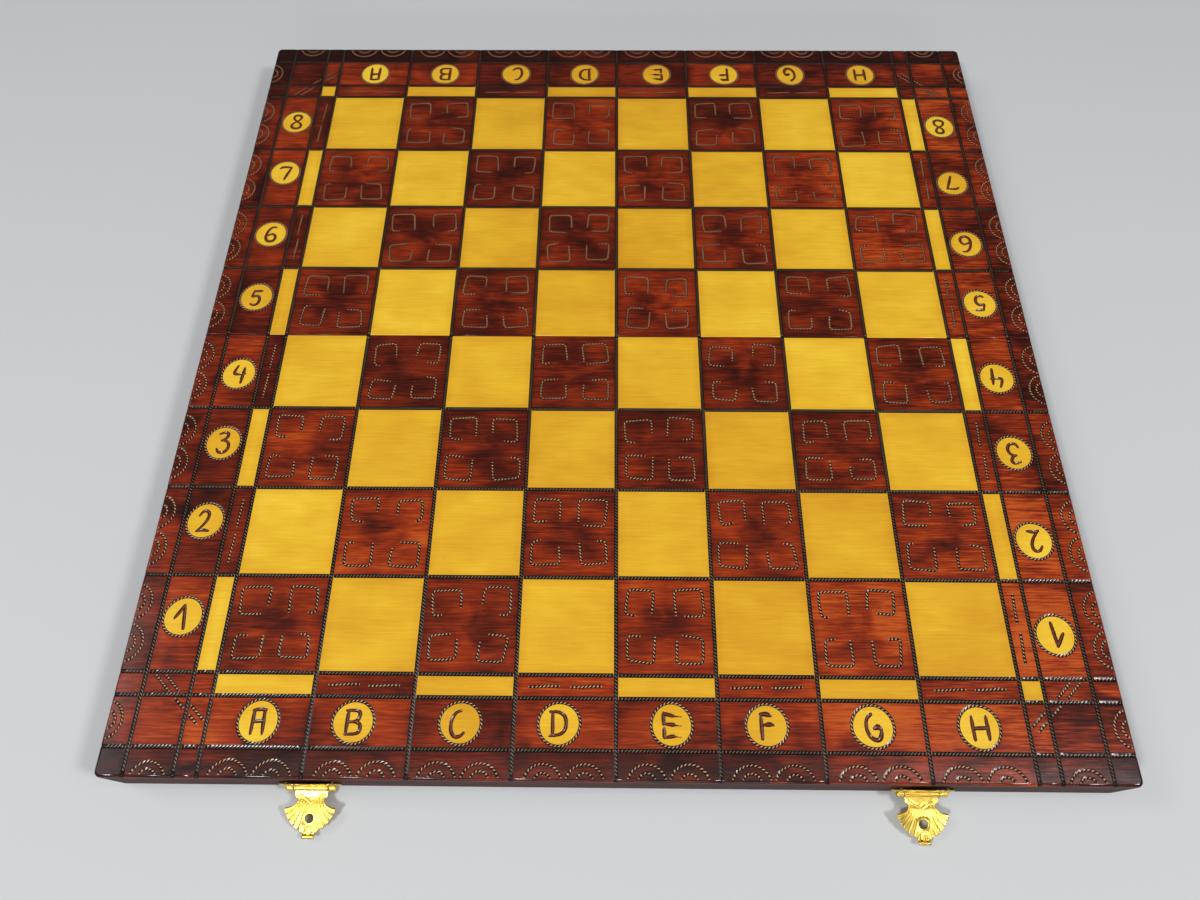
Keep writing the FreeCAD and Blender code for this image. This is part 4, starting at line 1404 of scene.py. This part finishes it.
def plate_shape(clasp):
    """Outer side of a base plate: across, up from the pin, and away from the wall.

    Rows go out along rays from the pin, from the notch round the tab's barrel to the scalloped edge.
    The distance from the wall is the bow, a parabola across the plate, plus the sheet and the flutes.
    """
    share = np.linspace(-1, 1, 12 * clasp.plate_lobes + 1)
    heading = share * clasp.plate_half_angle
    reach = fan_reach(share, clasp.plate_lobes, clasp.plate_side, clasp.plate_top, clasp.plate_notch)
    start = (clasp.barrel + 0.25 * MM) / np.cos(heading)
    t = np.linspace(0, 1, 26)[:, None]
    radius = start + (reach - start) * t
    across, up = radius * np.sin(heading), radius * np.cos(heading)
    ribs = 0.22 * MM * flutes(share, clasp.plate_lobes) * step(t, 0.1, 0.6) * (1 - 0.9 * step(t, 0.6, 1.0))
    bow = clasp.plate_bow * (1 - (across / clasp.plate_side) ** 2)
    return sheet(np.stack([across, up, bow + clasp.sheet + ribs], axis=-1))


def knuckle_shape(clasp, end, wall_y):
    """Inner side of a base plate's knuckle: from the plate down the wall side and round the pin."""
    inner = clasp.barrel - clasp.sheet
    axis = wall_y - clasp.axis_y
    turns = np.radians(np.linspace(180, 475, 34))
    across = end * np.linspace(clasp.knuckle_start, clasp.knuckle_end, 6)
    up = np.concatenate([[2.6 * MM, 1.6 * MM, 0.8 * MM], -inner * np.sin(turns)])
    bow = clasp.plate_bow * (1 - (across.mean() / clasp.plate_side) ** 2) + clasp.sheet - 0.05 * MM
    away = np.concatenate([[bow, bow - 0.06 * MM, axis - inner], axis + inner * np.cos(turns)])
    points, faces = sheet(swept(across, up, away))
    return points, faces if end > 0 else faces[:, ::-1]


class CHESSBOX_OT_clasp_plates(Operator):
    """Builds the bowed base plates and dresses the pins, nails and knobs"""

    bl_idname = "chessbox.clasp_plates"
    bl_label = "Clasp plates"

    def execute(self, context):
        clasp = context.scene.chess_box.clasp
        material = brass("Buffed brass", clasp.brass, clasp.tarnish, 0.32, 0.7)
        wall_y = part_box("front_outer_wall")[0][1]
        for name, side in (("left", -1), ("right", 1)):
            knuckles = [knuckle_shape(clasp, end, wall_y) for end in (-1, 1)]
            points, faces = joined([plate_shape(clasp)] + knuckles)
            across, up, away = points.T
            points = np.stack([side * clasp.across + across, wall_y - away, clasp.axis_z + up], axis=-1)
            base, node = f"clasp_{name}_base", f"clasp_{name}_plate"
            brass_sheet(base, "front_tray", node, points, faces[:, ::-1], material, clasp.sheet)
            dress(f"clasp_{name}_pin", material)
            dress(f"clasp_{name}_knob", material)
        dress("clasp_nails", material)
        return {"FINISHED"}


# Stage


def placed(name, data, axes, place):
    """Links a lamp or camera at a place, with its own X, Y and Z axes along the stated directions."""
    holder = bpy.data.objects.new(name, data)
    bpy.context.scene.collection.objects.link(holder)
    holder.matrix_world = Matrix(np.vstack([np.column_stack([*axes, place]), (0, 0, 0, 1)]).tolist())
    return holder


def lamp(name, place, target, size, power):
    """A soft rectangular lamp that faces a point."""
    light = bpy.data.lights.new(name, "AREA")
    light.shape = "RECTANGLE"
    light.size, light.size_y = size
    light.energy = power
    away = np.array(place, float) - np.array(target, float)
    away /= np.linalg.norm(away)
    side = np.cross((0, 1, 0) if abs(away[1]) < 0.95 else (1, 0, 0), away)
    side /= np.linalg.norm(side)
    placed(name, light, (side, np.cross(away, side), away), place)


def floor_shape(level):
    """A flat round floor that turns up into a low wall: a line and a quarter circle, turned about Z."""
    flat, bend, height, sectors = 1.7, 1.1, 1.4, 72
    turns = np.radians(np.linspace(0, 90, 13))
    out = np.concatenate([[0.02, flat / 2], flat + bend * np.sin(turns), [flat + bend]])
    up = level + np.concatenate([[0, 0], bend * (1 - np.cos(turns)), [height]])
    circle = np.linspace(0, 2 * np.pi, sectors + 1)
    up = np.broadcast_to(up[:, None], (len(up), len(circle)))
    x, y = np.outer(out, np.cos(circle)), np.outer(out, np.sin(circle))
    points, faces = sheet(np.stack([x, y, up], axis=-1))
    hub = np.concatenate([points[:sectors], [[0, 0, level]]])
    sector = np.arange(sectors)
    fan = np.stack([sector, (sector + 1) % sectors, np.full(sectors, sectors)], axis=-1)
    return np.concatenate([points, hub]), [faces, fan + len(points)]


# The middle of the box, which most lamps face
MIDDLE = (0, 0, 0.02)

# Name, place, target, size and power of each lamp
LAMPS = (
    ("left key lamp", (-0.72, -0.85, 1.5), MIDDLE, (0.26, 0.26), 16),
    ("right key lamp", (1.05, -0.5, 1.45), MIDDLE, (0.26, 0.26), 13),
    ("left lamp", (-1.25, 0.1, 1.45), MIDDLE, (0.5, 0.5), 5),
    ("right ceiling lamp", (0.85, -0.12, 1.5), (0.85, -0.12, 0), (0.7, 0.12), 1.8),
    ("front ceiling lamp", (-0.2, -0.12, 1.5), (-0.2, -0.12, 0), (1.6, 0.12), 1.2),
    ("front lamp", (0.1, -2.2, 0.9), MIDDLE, (1.6, 0.12), 8),
)


def build_floor(stage):
    """A plain pale floor with hardly visible clouds."""
    material, tree = new_material("Plain floor")
    cloud = pattern(tree, (300, 300), 1.0, 0.4)
    tone = mixed(tree, between(tree, cloud, 0.3, 0.7, 0.0, 0.06), stage.floor, "B9BCBE")
    finish_material(material, {"Base Color": tone, "Roughness": 0.7, "Specular IOR Level": 0.2})
    floor = bpy.data.objects.new("floor", new_mesh("floor", *floor_shape(cad_box[0][2])))
    floor.data.materials.append(material)
    bpy.context.scene.collection.objects.link(floor)


def build_room(scene, stage):
    """An even grey room all round."""
    world = bpy.data.worlds.new("Plain room")
    world.use_nodes = True
    tree = world.node_tree
    tree.nodes.clear()
    inputs = {"Color": rgba(stage.surroundings), "Strength": stage.room_level}
    shade = add(tree, "ShaderNodeBackground", inputs)
    add(tree, "ShaderNodeOutputWorld", {"Surface": shade.outputs[0]})
    scene.world = world


def build_camera(scene):
    """The photograph's view, from a camera fitted to the board's corners."""
    view = bpy.data.cameras.new("photograph view")
    view.sensor_width = 36.0
    view.lens = 27.10
    view.shift_y = -0.0401
    view.clip_start = 0.01
    right = np.array([0.99994, 0.00960, -0.00542])
    down = np.array([0.00588, -0.88048, -0.47404])
    forward = np.array([-0.00932, 0.47398, -0.88049])
    place = np.array([-3.7, -235.4, 392.8]) * MM
    scene.camera = placed("photograph view", view, (right, -down, -forward), place)


class CHESSBOX_OT_stage(Operator):
    """Sets up the floor, the lamps, the surroundings and the camera"""

    bl_idname = "chessbox.stage"
    bl_label = "Stage"

    def execute(self, context):
        stage = context.scene.chess_box.stage
        scene = context.scene
        build_floor(stage)
        build_room(scene, stage)
        for rig in LAMPS:
            lamp(*rig)
        build_camera(scene)
        scene.view_settings.view_transform = "Standard"
        return {"FINISHED"}


class CHESSBOX_PT_panel(Panel):
    """Lists the steps that build the chess box"""

    bl_idname = "CHESSBOX_PT_panel"
    bl_label = "Chess box"
    bl_space_type = "VIEW_3D"
    bl_region_type = "UI"
    bl_category = "Chess box"

    def draw(self, context):
        for operator in OPERATORS:
            self.layout.operator(operator.bl_idname)


SETTINGS = (BoardSettings, TraySettings, ClaspSettings, StageSettings, ChessBoxSettings)
OPERATORS = (
    CHESSBOX_OT_stage,
    CHESSBOX_OT_boards,
    CHESSBOX_OT_walls,
    CHESSBOX_OT_linings,
    CHESSBOX_OT_hinges,
    CHESSBOX_OT_clasp_plates,
    CHESSBOX_OT_clasp_tabs,
)


def register():
    for kind in SETTINGS + OPERATORS + (CHESSBOX_PT_panel,):
        bpy.utils.register_class(kind)
    bpy.types.Scene.chess_box = PointerProperty(type=ChessBoxSettings)


def unregister():
    del bpy.types.Scene.chess_box
    for kind in reversed(SETTINGS + OPERATORS + (CHESSBOX_PT_panel,)):
        bpy.utils.unregister_class(kind)


def main():
    register()
    for operator in OPERATORS:
        group, name = operator.bl_idname.split(".")
        getattr(getattr(bpy.ops, group), name)()


if __name__ == "__main__":
    main()
